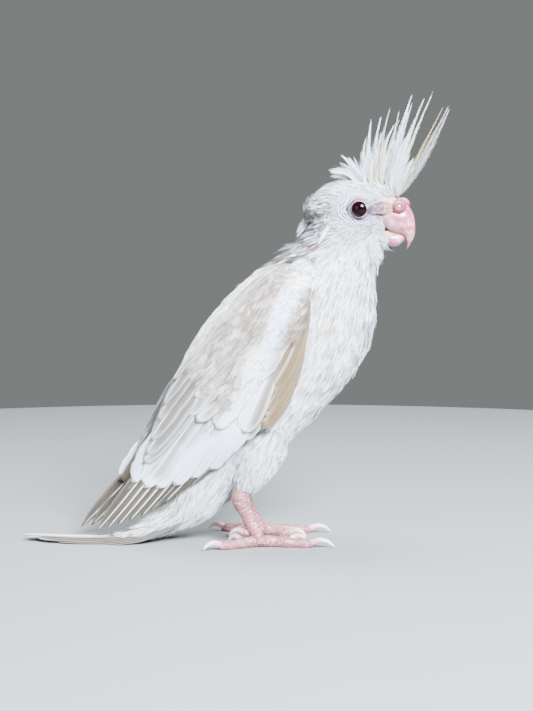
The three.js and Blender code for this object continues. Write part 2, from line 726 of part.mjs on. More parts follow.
/** Puts every part together as one named mesh each. */
function cockatiel() {
  const bird = new THREE.Group();
  const keep = (name, made, material) => {
    const { numProp, vertProperties, triVerts } = largest(made).getMesh();
    const geometry = new THREE.BufferGeometry()
      .setAttribute("position", new THREE.BufferAttribute(new Float32Array(vertProperties), numProp))
      .setIndex(new THREE.BufferAttribute(new Uint32Array(triVerts), 1));
    const mesh = new THREE.Mesh(geometry, material);
    mesh.name = name;
    bird.add(mesh);
  };

  const sides = [["right", RIGHT], ["left", LEFT]];
  const both = (make) => make(RIGHT).add(make(LEFT));

  // Trunk and head are one form, parted by thin cuts into tail root, torso, neck and head.
  const skullNow = turned(skull());
  const whole = trunk().add(skullNow).add(tailForm());
  const [upper, tailRoot] = partedAt(whole, TAIL_CUT);
  const [aboveTorso, torso] = partedAt(upper, NECK_CUT);
  const [headWhole, neck] = partedAt(aboveTorso, THROAT_CUT);
  keep("torso", torso, FINISH.plumage);
  keep("neck", neck, FINISH.plumage);

  const sockets = turned(both((side) => eyeball(side, GAP).add(lidRing(side, GAP))));
  const crestFeathers = Array.from({ length: CREST_FEATHERS }, (_, i) => crestFeather(i));
  const crestWhole = wasm.Manifold.union([egg(CREST_PAD), ...crestFeathers]);
  const head = headWhole.subtract(sockets).subtract(turned(egg(CREST_PAD, GAP)));
  keep("head", head, FINISH.plumage);
  keep("crest", turned(crestWhole.subtract(skull(GAP).subtract(egg(CREST_PAD)))), FINISH.plumage);
  for (const [name, side] of sides) {
    keep(`eye_${name}`, turned(eyeball(side)), FINISH.eye);
    keep(`eyelids_${name}`, turned(lidRing(side).subtract(eyeball(side, GAP))), FINISH.cere);
  }

  const headRoom = turned(skull(GAP)).add(trunk(GAP)).add(turned(egg(CREST_PAD, GAP)));
  const cereRoom = turned(cereBody(GAP));
  const upperRoom = turned(billHalf(UPPER_BILL, GAP));
  keep("bill_upper", turned(billHalf(UPPER_BILL)).subtract(headRoom).subtract(cereRoom), FINISH.bill);
  keep("bill_lower", turned(billHalf(LOWER_BILL)).subtract(headRoom).subtract(upperRoom), FINISH.bill);
  const nostrils = both(nostril);
  keep("cere", turned(cereBody().subtract(nostrils)).subtract(headRoom), FINISH.cere);

  keep("tail", onFloor(tailRoot), FINISH.quill);

  const trunkRoom = trunk(GAP);
  const thighRoom = limb(THIGH, GAP);
  for (const [name, side] of sides) {
    const sided = (made) => (side === LEFT ? mirrored(made) : made);
    const foot = onFloor(TOES.reduce((made, each) => made.add(toe(each)), limb(SHANK)));
    const thigh = limb(THIGH).subtract(limb(SHANK, GAP));
    keep(`thigh_${name}`, sided(thigh).subtract(trunkRoom), FINISH.plumage);
    keep(`foot_${name}`, sided(foot).subtract(trunkRoom), FINISH.skin);
    for (const each of TOES) {
      keep(`claw_${each.name}_${name}`, sided(onFloor(claw(each).subtract(toe(each, GAP)))), FINISH.claw);
    }
    const folded = wing(side).subtract(trunkRoom).subtract(sided(thighRoom)).subtract(tailForm(TAIL_ROOM));
    keep(`wing_${name}`, folded, FINISH.cream);
  }
  return bird;
}

export default cockatiel();
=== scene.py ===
"""The looks of a still, life-size young cockatiel: skin, plumage, head, feet, stage, light and camera.

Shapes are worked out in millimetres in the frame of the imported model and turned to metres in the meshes.
"""

import itertools
import logging
import math
from dataclasses import dataclass, field, fields
from enum import Enum
from typing import Callable, Sequence

import bpy
import numpy as np
from mathutils import Matrix, Vector
from mathutils.bvhtree import BVHTree


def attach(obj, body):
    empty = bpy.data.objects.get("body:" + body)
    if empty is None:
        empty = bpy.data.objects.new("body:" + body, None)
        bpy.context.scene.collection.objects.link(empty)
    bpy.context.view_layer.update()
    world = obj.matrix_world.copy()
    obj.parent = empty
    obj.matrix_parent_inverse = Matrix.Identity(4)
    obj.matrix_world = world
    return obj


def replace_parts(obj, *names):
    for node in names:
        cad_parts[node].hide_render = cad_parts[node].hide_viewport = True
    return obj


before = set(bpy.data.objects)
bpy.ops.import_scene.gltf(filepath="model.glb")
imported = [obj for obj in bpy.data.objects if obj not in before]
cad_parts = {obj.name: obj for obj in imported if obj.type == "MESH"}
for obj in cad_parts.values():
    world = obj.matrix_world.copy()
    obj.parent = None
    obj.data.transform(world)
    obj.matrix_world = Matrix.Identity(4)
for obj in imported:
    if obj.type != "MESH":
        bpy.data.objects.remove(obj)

log = logging.getLogger("cockatiel")
logging.basicConfig(level=logging.INFO, format="%(message)s")

Array = np.ndarray
Rows = Sequence[Sequence[float]]
Rng = np.random.Generator
Material = bpy.types.Material
Socket = bpy.types.NodeSocket
MM = 0.001


class Side(Enum):
    """A side of the bird, as the sign of Y there."""

    RIGHT = -1
    LEFT = 1


# Numbers and colours


def linear(code: str) -> Array:
    """Turn an sRGB hex colour, written #rrggbb, to linear."""
    parts = np.array([int(code[i : i + 2], 16) / 255 for i in (1, 3, 5)])
    return np.where(parts <= 0.04045, parts / 12.92, ((parts + 0.055) / 1.055) ** 2.4)


def ramp(low: float, high: float, value: Array) -> Array:
    """Rise smoothly from 0 at one number to 1 at another, which may be the lower of the two."""
    share = np.clip((np.asarray(value, float) - low) / (high - low), 0, 1)
    return share * share * (3 - 2 * share)


def blend(a: Array, b: Array, share: Array) -> Array:
    """Mix two colours or points: the first at share 0, the second at share 1."""
    share = np.asarray(share, float)[..., None] if np.ndim(share) else share
    return a * (1 - share) + b * share


def unit(vectors: Array) -> Array:
    """Scale vectors to length 1."""
    return vectors / np.maximum(np.linalg.norm(vectors, axis=-1, keepdims=True), 1e-9)


def pack(*columns: object) -> Array:
    """Set numbers side by side along a new last axis, spreading single ones over all rows."""
    return np.stack(np.broadcast_arrays(*columns), -1)


def around(sides: int) -> Array:
    """Divide a full turn into equal angles."""
    return np.linspace(0, 2 * math.pi, sides, endpoint=False)


def rotation(axis: str, degrees: float) -> Array:
    """Make the matrix that turns column vectors about a main axis by the right-hand rule."""
    return np.array(Matrix.Rotation(math.radians(degrees), 3, axis))


def drift(points: Array, size: float, seed: int, stretch: Sequence[float] = (1, 1, 1)) -> Array:
    """Give smooth, seeded, cloud-like noise over space.

    Args:
        points: Where to read it, in millimetres.
        size: Roughly how large its clouds are.
        seed: Which noise.
        stretch: How much longer the clouds are along each axis.

    Returns:
        Numbers that spread about 0, seldom beyond 1.
    """
    rng = np.random.default_rng(seed)
    waves = rng.normal(0, 1, (18, 3)) * (2.2 / size) / np.array(stretch)
    return np.sin(points @ waves.T + rng.uniform(0, 2 * math.pi, 18)).sum(1) / 4.2


class Track:
    """A smooth function of one number through rows of [place, value, value...]."""

    def __init__(self, rows: Rows) -> None:
        """Work out the slopes at each row.

        Args:
            rows: The rows, in rising order of place.
        """
        table = np.array(rows, float)
        self.place, self.value = table[:, 0], table[:, 1:]
        gap = np.diff(self.place)[:, None]
        slope = np.diff(self.value, axis=0) / gap
        inner = (slope[:-1] * gap[1:] + slope[1:] * gap[:-1]) / (gap[1:] + gap[:-1])
        self.slope = np.vstack([slope[:1], inner, slope[-1:]])

    def __call__(self, where: Array) -> Array:
        """Read the function.

        Args:
            where: One place or many.

        Returns:
            The values there, in the last axis.
        """
        x = np.clip(np.asarray(where, float), self.place[0], self.place[-1])
        i = np.clip(np.searchsorted(self.place, x, side="right") - 1, 0, len(self.place) - 2)
        gap = (self.place[i + 1] - self.place[i])[..., None]
        u = ((x - self.place[i])[..., None]) / gap
        a, b, p, q = self.value[i], self.value[i + 1], self.slope[i] * gap, self.slope[i + 1] * gap
        return a + u * (p + u * (3 * (b - a) - 2 * p - q + u * (p + q - 2 * (b - a))))


# Meshes


@dataclass
class Shape:
    """Corners, triangles and what each corner carries, gathered before a mesh is made."""

    points: list[Array] = field(default_factory=list)
    faces: list[Array] = field(default_factory=list)
    colours: list[Array] = field(default_factory=list)
    vane: list[Array] = field(default_factory=list)
    bake: list[Array] = field(default_factory=list)
    count: int = 0

    def add(
        self, points: Array, faces: Array, colours: Array, vane: Array | float = 0, bake: Array | float = 0.5
    ) -> "Shape":
        """Add corners and triangles.

        Args:
            points: Corners in millimetres.
            faces: Triangles as rows of three corner numbers.
            colours: A linear colour for each corner, or one for all.
            vane: Millimetres across and along a feather, for each corner.
            bake: The OFBake place of each corner, or one for all.

        Returns:
            The shape itself.
        """
        n = len(points)
        self.points.append(points)
        self.faces.append(faces + self.count)
        self.colours.append(np.broadcast_to(colours, (n, 3)))
        self.vane.append(np.broadcast_to(vane, (n, 2)))
        self.bake.append(np.broadcast_to(bake, (n, 2)))
        self.count += n
        return self

    def tree(self) -> BVHTree:
        """Ready the surface to be searched for its nearest places."""
        return BVHTree.FromPolygons(np.vstack(self.points).tolist(), np.vstack(self.faces).tolist())

    def make(self, name: str, material: Material, slot: str, baked: bool = False) -> bpy.types.Object:
        """Make the Blender object.

        Args:
            name: The piece's name.
            material: Its finish.
            slot: The record's material slot; not used.
            baked: Whether it gets the OFBake map.

        Returns:
            The object, riding on the root body.
        """
        points, faces = np.vstack(self.points), np.vstack(self.faces)
        mesh = bpy.data.meshes.new(name)
        mesh.vertices.add(len(points))
        mesh.vertices.foreach_set("co", (points * MM).astype(np.float32).ravel())
        mesh.loops.add(3 * len(faces))
        mesh.loops.foreach_set("vertex_index", faces.astype(np.int32).ravel())
        mesh.polygons.add(len(faces))
        mesh.polygons.foreach_set("loop_start", np.arange(0, 3 * len(faces), 3, dtype=np.int32))
        mesh.polygons.foreach_set("use_smooth", np.ones(len(faces), bool))
        mesh.update(calc_edges=True)
        tint = mesh.color_attributes.new(name="Tint", type="FLOAT_COLOR", domain="POINT")
        rgba = np.hstack([np.vstack(self.colours), np.ones((len(points), 1))])
        tint.data.foreach_set("color", rgba.astype(np.float32).ravel())
        maps = {"Vane": self.vane, "OFBake": self.bake} if baked else {"Vane": self.vane}
        for title, values in maps.items():
            layer = mesh.uv_layers.new(name=title)
            layer.data.foreach_set("uv", np.vstack(values)[faces.ravel()].astype(np.float32).ravel())
        mesh.validate()
        mesh.materials.append(material)
        piece = bpy.data.objects.new(name, mesh)
        bpy.context.scene.collection.objects.link(piece)
        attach(piece, "root")
        log.info("%s: %d triangles", name, len(faces))
        return piece


def grid_faces(rows: int, columns: int, closed: bool = False) -> Array:
    """Number the triangles of a grid of corners.

    Args:
        rows: How many rows of corners.
        columns: How many corners a row has.
        closed: Whether each row closes on itself.

    Returns:
        Triangles as rows of three numbers.
    """
    a = np.arange(rows - 1)[:, None] * columns
    k = np.arange(columns if closed else columns - 1)[None, :]
    here, there = a + k, a + (k + 1) % columns
    quad = pack(here, there, there + columns, here + columns).reshape(-1, 4)
    return np.vstack([quad[:, [0, 1, 2]], quad[:, [0, 2, 3]]])


def blade_faces(rows: int, columns: int) -> Array:
    """Number the triangles of a closed blade: an upper grid, a lower one and the rim between.

    Args:
        rows: Rows of corners in each grid.
        columns: Corners in a row.

    Returns:
        Triangles as rows of three numbers.
    """
    n = rows * columns
    grid = grid_faces(rows, columns)
    number = np.arange(n).reshape(rows, columns)
    rim = np.concatenate([number[:-1, 0], number[-1, :-1], number[:0:-1, -1], number[0, :0:-1]])
    after = np.roll(rim, -1)
    wall = np.vstack([pack(rim, rim + n, after + n), pack(rim, after + n, after)])
    return np.vstack([grid, grid[:, ::-1] + n, wall[:, ::-1]])


def facing_out(points: Array, faces: Array) -> Array:
    """Turn a closed form's triangles so that they face out."""
    a, b, c = (points[faces[:, k]] - points.mean(0) for k in range(3))
    return faces if (a * np.cross(b, c)).sum() > 0 else faces[:, ::-1]


def tube(rings: Array, first: Array, last: Array) -> tuple[Array, Array]:
    """Close rings of corners to a tube.

    Args:
        rings: Corners by ring and side.
        first: The pole before the first ring.
        last: The pole after the last ring.

    Returns:
        Corners, the poles last, and triangles.
    """
    count, sides = rings.shape[:2]
    k = np.arange(sides)
    n, end = (k + 1) % sides, (count - 1) * sides
    caps = [pack(n, k, count * sides), pack(end + k, end + n, count * sides + 1)]
    points = np.vstack([rings.reshape(-1, 3), first, last])
    return points, facing_out(points, np.vstack([grid_faces(count, sides, True), *caps]))


def limb(points: Rows, girth: Callable[[Array], Array], rings: int, sides: int) -> tuple[Array, Array, Array]:
    """Make a closed limb along a smooth curve.

    Args:
        points: What the curve runs through.
        girth: Gives half the width and half the height for shares of the way.
        rings: How many rings.
        sides: How many corners a ring has.

    Returns:
        Corners, triangles, and each corner's share of the way.
    """
    knots = np.array(points, float)
    reach = np.concatenate([[0], np.cumsum(np.linalg.norm(np.diff(knots, axis=0), axis=1))])
    share = np.linspace(0, 1, rings)
    place = Track(np.column_stack([reach / reach[-1], knots]))(share)
    forward = unit(np.gradient(place, axis=0))
    across = unit(np.array([0, 1, 0]) - forward * forward[:, 1:2])
    upright = np.cross(forward, across)
    wide, high = girth(share).T
    sideways = across[:, None] * (wide[:, None] * np.cos(around(sides)))[..., None]
    ring = place[:, None] + sideways + upright[:, None] * (high[:, None] * np.sin(around(sides)))[..., None]
    first = place[0] - forward[0] * 0.5 * min(wide[0], high[0])
    last = place[-1] + forward[-1] * 0.5 * min(wide[-1], high[-1])
    return *tube(ring, first, last), np.concatenate([np.repeat(share, sides), [0, 1]])


# The bird's sizes, the same as in the solids

# Each station of the trunk: X and Z of its middle, its lean in degrees, half its depth and half its width.
TRUNK = Track([
    [0, -37.2, 3.9, 150, 3.6, 4.6], [1, -26, 8.4, 148, 7.6, 7.2], [2, -17.2, 14.9, 145, 10.8, 9.8],
    [3, -12.2, 24, 152, 14.9, 13], [4, -6, 35.2, 159, 19.4, 16], [5, 1.4, 47.4, 161, 23.8, 18.5],
    [6, 10, 60.4, 162, 27.2, 20.5], [7, 18.6, 72.6, 163, 29.6, 22], [8, 26.4, 85.2, 164, 30, 22],
    [9, 32.4, 97, 166, 26.8, 20.5], [10, 37, 106, 168, 21.4, 18], [11, 41, 112.4, 170, 18, 15.6],
    [12, 44.6, 118.4, 171, 16.6, 14], [13, 47, 125, 174, 15.5, 13],
])
THROAT = 13
HEAD_PIVOT = np.array([48, 0, 128])
HEAD_TURN = rotation("Z", -17) @ rotation("X", 8)
EYE_AT = np.array([53.6, 10.2, 133.9])
EYE_RADIUS = 3.8
BODY_DEPTH = 1.7
HEAD_DEPTH = 1.2


def head_out(points: Array) -> Array:
    """Move points of a head that looks straight ahead to the turned one."""
    return (points - HEAD_PIVOT) @ HEAD_TURN.T + HEAD_PIVOT


def head_in(points: Array) -> Array:
    """Move points of the model to a head that looks straight ahead."""
    return (points - HEAD_PIVOT) @ HEAD_TURN + HEAD_PIVOT


@dataclass(frozen=True)
class Egg:
    """A ball whose radius differs forwards, backwards, up, down and sideways."""

    centre: Sequence[float]
    front: float
    back: float
    up: float
    down: float
    side: float
    tip: float = 0

    def surface(self, sides: int, rows: int, grow: float = 0) -> tuple[Array, Array]:
        """Make the egg's skin.

        Args:
            sides: Corners in each ring.
            rows: Rings from top to bottom.
            grow: How much to add to each radius.

        Returns:
            Corners and triangles.
        """
        polar, angle = np.linspace(0, math.pi, rows + 2)[1:-1, None], around(sides)
        ball = pack(np.sin(polar) * np.cos(angle), np.sin(polar) * np.sin(angle), np.cos(polar))
        points, faces = tube(ball, np.array([0, 0, 1.0]), np.array([0, 0, -1.0]))
        x, _, z = points.T
        scale = pack(np.where(x > 0, self.front, self.back), self.side, np.where(z > 0, self.up, self.down))
        return (points * (scale + grow)) @ rotation("Y", self.tip).T + np.array(self.centre), faces


HEAD_FORMS = (
    Egg((48, 0, 131.6), 16.9, 18.4, 14, 14.8, 13.4),
    Egg((44, 0, 126), 15, 13, 11, 10.5, 14.2),
    Egg((60.6, 0, 139), 6.6, 8.4, 5, 5, 5.6, 22),
)


def trunk_rings(rings: int, sides: int, grow: float) -> tuple[Array, Array]:
    """Make the trunk's skin.

    Args:
        rings: How many rings from the tail root to the throat.
        sides: How many corners a ring has.
        grow: How much fatter it is than the solid.

    Returns:
        Corners and triangles.
    """
    x, z, lean, deep, wide = TRUNK(np.linspace(0, THROAT, rings)).T
    back = pack(np.cos(np.radians(lean)), 0, np.sin(np.radians(lean)))
    angle = around(sides)
    ring = pack(x, 0, z)[:, None] + back[:, None] * ((deep + grow)[:, None] * np.cos(angle))[..., None]
    ring[..., 1] += (wide + grow)[:, None] * np.sin(angle)
    return tube(ring, np.array([-42.5 - grow, 0, 2.6]), np.array([48, 0, 132.0]))


def trunk_axis(points: Array) -> tuple[Array, Array]:
    """Find where points lie along the trunk and the way to the tail there.

    Args:
        points: Points of the model.

    Returns:
        The nearest station of each point and the unit direction to the tail.
    """
    station = np.linspace(0, THROAT, 66)
    line = TRUNK(station)[:, :2]
    nearest = np.linalg.norm(points[:, None, [0, 2]] - line[None], axis=2).argmin(1)
    slope = -unit(np.gradient(line, axis=0))[nearest]
    return station[nearest], pack(slope[:, 0], 0, slope[:, 1])


# The wing's sizes, in millimetres from the wrist towards the tip and round the bend towards the back

WRIST = np.array([28.4, 103.6])
WING_SLOPE = math.radians(50.3)
ALONG = np.array([-math.cos(WING_SLOPE), -math.sin(WING_SLOPE)])
ACROSS = np.array([ALONG[1], -ALONG[0]])
WING_BEND = Track([
    [-8, 19, 12, -6], [10, 25.6, 17.8, -9], [35, 26.2, 19.4, -10], [60, 23.2, 15.2, -11],
    [85, 15.5, 9.6, -9], [105, 9.6, 5.7, -6], [130, 6, 3, -4],
])
WING_EDGES = Track([
    [-4, -1, 8], [2, -4.6, 19], [14, -11.5, 25], [28, -17.5, 27], [46, -21, 25],
    [66, -18.4, 20], [88, -14, 13], [104, -7.6, 7], [124, -2, 2],
])
WING_WRAP = 1.45
FOLD = {Side.RIGHT: (0.0, 0.0, 0.0), Side.LEFT: (4.6, 6.4, -4.8)}


def wing_face(s: Array, t: Array) -> Array:
    """Find places on the right wing's outer face.

    Args:
        s: Distances from the wrist towards the tip.
        t: Distances round the bend from the line to the tip, towards the back.

    Returns:
        The places.
    """
    wide, back, middle = np.moveaxis(WING_BEND(s), -1, 0)
    reach = back - middle
    angle = np.clip((t - middle) / reach, -WING_WRAP, WING_WRAP)
    across = middle + reach * np.sin(angle)
    x, z = (WRIST[k] + ALONG[k] * s + ACROSS[k] * across for k in (0, 1))
    return pack(x, -wide * np.cos(angle), z)


def wing_point(s: Array, t: Array, height: Array, side: Side) -> Array:
    """Find places at a height off the outer face of a wing, laid as that wing is folded.

    Args:
        s: Distances from the wrist towards the tip.
        t: Distances round the bend.
        height: How far off the face.
        side: Which wing.

    Returns:
        The places in the model's frame.
    """
    step = 0.5
    s, t, height = np.broadcast_arrays(*(np.asarray(v, float) for v in (s, t, height)))
    along_s = wing_face(s + step, t) - wing_face(s - step, t)
    along_t = wing_face(s, t + step) - wing_face(s, t - step)
    points = wing_face(s, t) - unit(np.cross(along_s, along_t)) * height[..., None]
    swing, slide, shift = FOLD[side]
    wrist, moved = pack(WRIST[0], 0, WRIST[1]), slide * ALONG + shift * ACROSS
    mirrored = points * np.array([1, -side.value, 1]) - wrist
    return mirrored @ rotation("Y", swing).T + wrist + pack(moved[0], 0, moved[1])


def wing_place(points: Array) -> tuple[Array, Array]:
    """Find how far along and across the right wing's lines points lie, seen from the side."""
    flat = points[:, [0, 2]] - WRIST
    return flat @ ALONG, flat @ ACROSS


# Markings

WHITE = linear("#f1f3f4")
# A blue-tinted white: the feathers' own faint grey with the painted tint of the cool studio light.
COOL = linear("#d3dfee")
CREAM = linear("#cbaf84")
TAN = linear("#715438")
ASH = linear("#6d6252")
OLIVE = linear("#2f2a1c")
YELLOW = linear("#d9be6c")
PINK = linear("#a34a58")
FLIGHT = linear("#3a3226")
FLIGHT_EDGE = linear("#645947")
SHAFT = linear("#f4efe8")


def body_colour(points: Array, draw: Array) -> Array:
    """Give the plumage's colour by its place on the bird.

    Args:
        points: Points of the model, in millimetres.
        draw: A random number from 0 to 1 for each point.

    Returns:
        Linear colours.
    """
    x, y, z = points.T
    colour = blend(WHITE, COOL, 0.5 * draw)
    breast = ramp(16, 30, x - 0.35 * (z - 85)) * ramp(116, 104, z)
    breast = breast * (0.35 + 0.65 * ramp(60, 88, z)) * ramp(30, 45, z)
    streak = ramp(-0.1, 0.9, drift(points, 3.2, 3, (1, 1, 3.4)) + 0.7 * (draw - 0.5))
    colour = blend(colour, blend(CREAM, YELLOW, 0.3), 0.6 * breast * streak)
    yolk = ramp(9, 3, np.linalg.norm((points - np.array([33, -16, 103])) * np.array([1, 0.7, 0.7]), axis=1))
    colour = blend(colour, YELLOW, 0.4 * yolk * draw)
    s, t = wing_place(points)
    mantle = ramp(4, 12, t) * ramp(-26, -8, s) * ramp(70, 30, s)
    patchy = 0.35 + 0.5 * ramp(-0.4, 0.6, drift(points, 6, 8))
    colour = blend(colour, blend(CREAM, TAN, patchy), 0.85 * mantle)
    nape = ramp(37, 30, x) * ramp(94, 102, z) * ramp(142, 134, z)
    patch = ramp(-0.15, 0.35, drift(points, 3.0, 12, (1, 1, 1.6)) + 0.9 * (draw - 0.5))
    colour = blend(colour, OLIVE, 0.85 * nape * patch)
    rump = ramp(36, 16, z) * ramp(-6, -20, x)
    return blend(colour, blend(WHITE, YELLOW, 0.35), 0.6 * rump)


def lore_share(x: Array, y: Array, z: Array) -> Array:
    """Tell, from 0 to 1, how far places of the straight-ahead head are bare skin between eye and cere."""
    off = np.hypot((x - 61.2) / 5.4, (z - 133.6 - 0.12 * (x - 61)) / 3.1)
    return ramp(1.2, 0.8, off) * ramp(3.0, 4.5, np.abs(y))


def head_colour(points: Array, draw: Array) -> Array:
    """Give the head plumage's colour by its place.

    Args:
        points: Points on the head looking straight ahead.
        draw: A random number from 0 to 1 for each point.

    Returns:
        Linear colours.
    """
    x, y, z = points.T
    colour = blend(WHITE, COOL, 0.6 * draw)
    fleck, crumb = drift(points, 1.0, 15), drift(points, 0.45, 16)
    bare = blend(linear("#453a4d"), linear("#784253"), np.clip((x - 57.5) / 6, 0, 1))
    bare = blend(bare, linear("#4e342e"), 0.7 * ramp(0.35, 0.9, fleck) * ramp(59, 61.5, x))
    dust = 0.85 * ramp(-0.1, 0.5, crumb - 0.3 * fleck) * ramp(61.6, 63.4, x)
    colour = blend(colour, blend(bare, linear("#c29a52"), dust), lore_share(x, y, z))
    root = ramp(60, 64.5, x) * ramp(136, 139.5, z)
    colour = blend(colour, YELLOW, 0.7 * root * (0.3 + draw))
    back = ramp(38, 32, x) * ramp(142, 134, z)
    colour = blend(colour, OLIVE, 0.7 * back * ramp(0.35, 0.6, draw + 0.3 * fleck))
    ear = ramp(3.4, 1.0, np.hypot((x - 38.4) * 0.55, (z - 121.4) * 1.6)) * ramp(4, 8, np.abs(y))
    return blend(colour, PINK, 0.95 * ear)


def head_share(points: Array) -> Array:
    """Tell how far points of the model belong to the head: 0 on the trunk, 1 on the head."""
    return ramp(112, 122, points[:, 2] - 0.25 * (points[:, 0] - 44))


def markings(points: Array, draw: Array) -> Array:
    """Give the linear colour of skin and coat at any place, with a random draw from 0 to 1 for each."""
    return blend(body_colour(points, draw), head_colour(head_in(points), draw), head_share(points))


# Materials


class Nodes:
    """One material's node tree, with a Principled shader at its end."""

    def __init__(self, name: str) -> None:
        """Start the material.

        Args:
            name: Its name.
        """
        self.material = bpy.data.materials.new(name)
        self.material.use_nodes = True
        self.tree = self.material.node_tree
        self.tree.nodes.clear()
        out = self.tree.nodes.new("ShaderNodeOutputMaterial")
        self.shader = self.tree.nodes.new("ShaderNodeBsdfPrincipled")
        self.tree.links.new(self.shader.outputs[0], out.inputs["Surface"])

    def fill(self, node: bpy.types.Node, links: dict) -> None:
        """Put an output socket or a value in each named or numbered input of a node."""
        for key, value in links.items():
            if isinstance(value, Socket):
                self.tree.links.new(value, node.inputs[key])
            else:
                node.inputs[key].default_value = value

    def add(self, kind: str, links: dict | Sequence = (), out: int | str = 0, **settings: object) -> Socket:
        """Add a node.

        Args:
            kind: The node's type, without the words that all shader nodes start with.
            links: What to put in its inputs: sockets or values, by input or in order.
            out: Which of its outputs to give.
            **settings: Attributes to set on it.

        Returns:
            The output.
        """
        node = self.tree.nodes.new("ShaderNode" + kind)
        for key, value in settings.items():
            setattr(node, key, value)
        self.fill(node, links if isinstance(links, dict) else dict(enumerate(links)))
        return node.outputs[out]

    def finish(self, colour: Socket, rough: Socket | float, **inputs: object) -> Material:
        """Link the shader up.

        Args:
            colour: The base colour.
            rough: The roughness.
            **inputs: Other inputs of the shader, with _ for a space.

        Returns:
            The material.
        """
        self.fill(self.shader, {"Base Color": colour, "Roughness": rough})
        self.fill(self.shader, {key.replace("_", " "): value for key, value in inputs.items()})
        return self.material


@dataclass(frozen=True)
class FeatherFinish:
    """Keratin barbs grown slanting off a shaft, dry and preened flat."""

    name: str
    barb_mm: float
    depth: float
    rough: float
    streak: float

    def build(self) -> Material:
        """Make the material.

        Returns:
            The material.
        """
        nodes = Nodes(self.name)
        add = nodes.add
        tint = add("Attribute", out="Color", attribute_name="Tint")
        uv = add("UVMap", uv_map="Vane")
        parts = add("SeparateXYZ", (uv,)).node
        # The barb lines slant back from the shaft and wander a little: the eye sees a fine, silky grain.
        across = add("Math", (parts.outputs[0],), operation="ABSOLUTE")
        lean = add("Math", (across, 1.1), operation="MULTIPLY")
        slant = add("Math", (parts.outputs[1], lean), operation="SUBTRACT")
        warp = add("TexNoise", {"Vector": uv, "Scale": 0.9, "Detail": 3.0})
        phase = add("Math", (warp, 2.2), operation="MULTIPLY_ADD")
        place = add("Math", (slant, phase), operation="ADD")
        turns = add("Math", (place, 2 * math.pi / self.barb_mm), operation="MULTIPLY")
        wave = add("Math", (turns,), operation="SINE")
        height = add("Math", (wave, 0.5), operation="MULTIPLY_ADD")
        # Painted shade darkens the gaps between barbs, and random noise patches are darker too, which keeps
        # pale feathers from looking like plastic.
        fleck = add("TexNoise", {"Vector": uv, "Scale": 2.4, "Detail": 4.0, "Roughness": 0.7})
        patch = add("Math", (fleck, 0.5), operation="SUBTRACT")
        # Random noise patches, darker in places.
        worn = add("Math", (patch, self.streak), operation="MULTIPLY")
        half = add("Math", (wave, 0.5), operation="MULTIPLY")
        groove_shade = add("Math", (0.5, half), operation="SUBTRACT")
        dark = add("Math", (groove_shade, 0.35 * self.streak), operation="MULTIPLY")
        patch_darkening = add("Math", (worn, 0.0), operation="MAXIMUM")
        amount = add("Math", (patch_darkening, dark), operation="ADD", use_clamp=True)
        dim = add("VectorMath", {0: tint, 3: 0.55}, operation="SCALE")
        colour = add("Mix", {0: amount, 6: tint, 7: dim}, out=2, data_type="RGBA")
        uneven = add("Math", (fleck, 0.2), operation="MULTIPLY")
        rough = add("Math", (uneven, self.rough - 0.1), operation="ADD", use_clamp=True)
        bump = add("Bump", {"Height": height, "Strength": self.depth, "Distance": 0.00012})
        # A weak sheen gives the down its soft bright outline against the light.
        glow = {"Sheen_Weight": 0.25, "Sheen_Roughness": 0.45, "Specular_IOR_Level": 0.35}
        return nodes.finish(colour, rough, Normal=bump, **glow)


@dataclass(frozen=True)
class SkinFinish:
    """Living skin, creased and covered in small scales."""

    name: str
    scale_mm: float
    depth: float
    rough: float
    wet: float = 0.0
    line: float = 0.25
    speck: float = 0.0

    def build(self) -> Material:
        """Make the material.

        Returns:
            The material.
        """
        nodes = Nodes(self.name)
        add = nodes.add
        tint = add("Attribute", out="Color", attribute_name="Tint")
        place = add("TexCoord", out="Object")
        # Small cells with sunk borders, painted darker as shade in the creases: the eye reads them as scales
        # and creases.
        grain = {"Vector": place, "Scale": 1000 / self.scale_mm}
        cells = add("TexVoronoi", grain, "Distance", feature="DISTANCE_TO_EDGE")
        noise = add("TexNoise", {"Vector": place, "Scale": 700.0, "Detail": 5.0, "Roughness": 0.6})
        edge = add("Math", (cells, 2.0), operation="MULTIPLY", use_clamp=True)
        low = add("Math", (noise, 0.5), operation="MULTIPLY")
        height = add("Math", (edge, low), operation="ADD")
        dim = add("VectorMath", {0: tint, 3: 0.7}, operation="SCALE")
        blotch = add("Math", (0.62, noise), operation="SUBTRACT", use_clamp=True)
        warm = add("Mix", {0: blotch, 6: tint, 7: dim}, out=2, data_type="RGBA")
        flat = add("Math", (edge, 3.0), operation="MULTIPLY")
        crease_shade = add("Math", (1.0, flat), operation="SUBTRACT", use_clamp=True)
        line = add("Math", (crease_shade, self.line), operation="MULTIPLY")
        lined = add("Mix", {0: line, 6: warm, 7: dim}, out=2, data_type="RGBA")
        # Pale flakes of old skin make it look dry and used.
        dots = add("TexNoise", {"Vector": place, "Scale": 1300.0, "Detail": 2.0})
        peak = add("Math", (dots, 0.56), operation="SUBTRACT", use_clamp=True)
        dot = add("Math", (peak, 9.0 * self.speck), operation="MULTIPLY", use_clamp=True)
        flake = (*linear("#cdb483"), 1)
        colour = add("Mix", {0: dot, 6: lined, 7: flake}, out=2, data_type="RGBA")
        bump = add("Bump", {"Height": height, "Strength": self.depth, "Distance": 0.00015})
        # Light that enters and comes back red gives the warm, soft look of flesh.
        flesh = {"Subsurface_Weight": 0.25, "Subsurface_Radius": (0.0012, 0.0006, 0.0005)}
        wet = {"Subsurface_Scale": 1.0, "Coat_Weight": self.wet, "Coat_Roughness": 0.2}
        return nodes.finish(colour, self.rough, Normal=bump, **flesh, **wet)


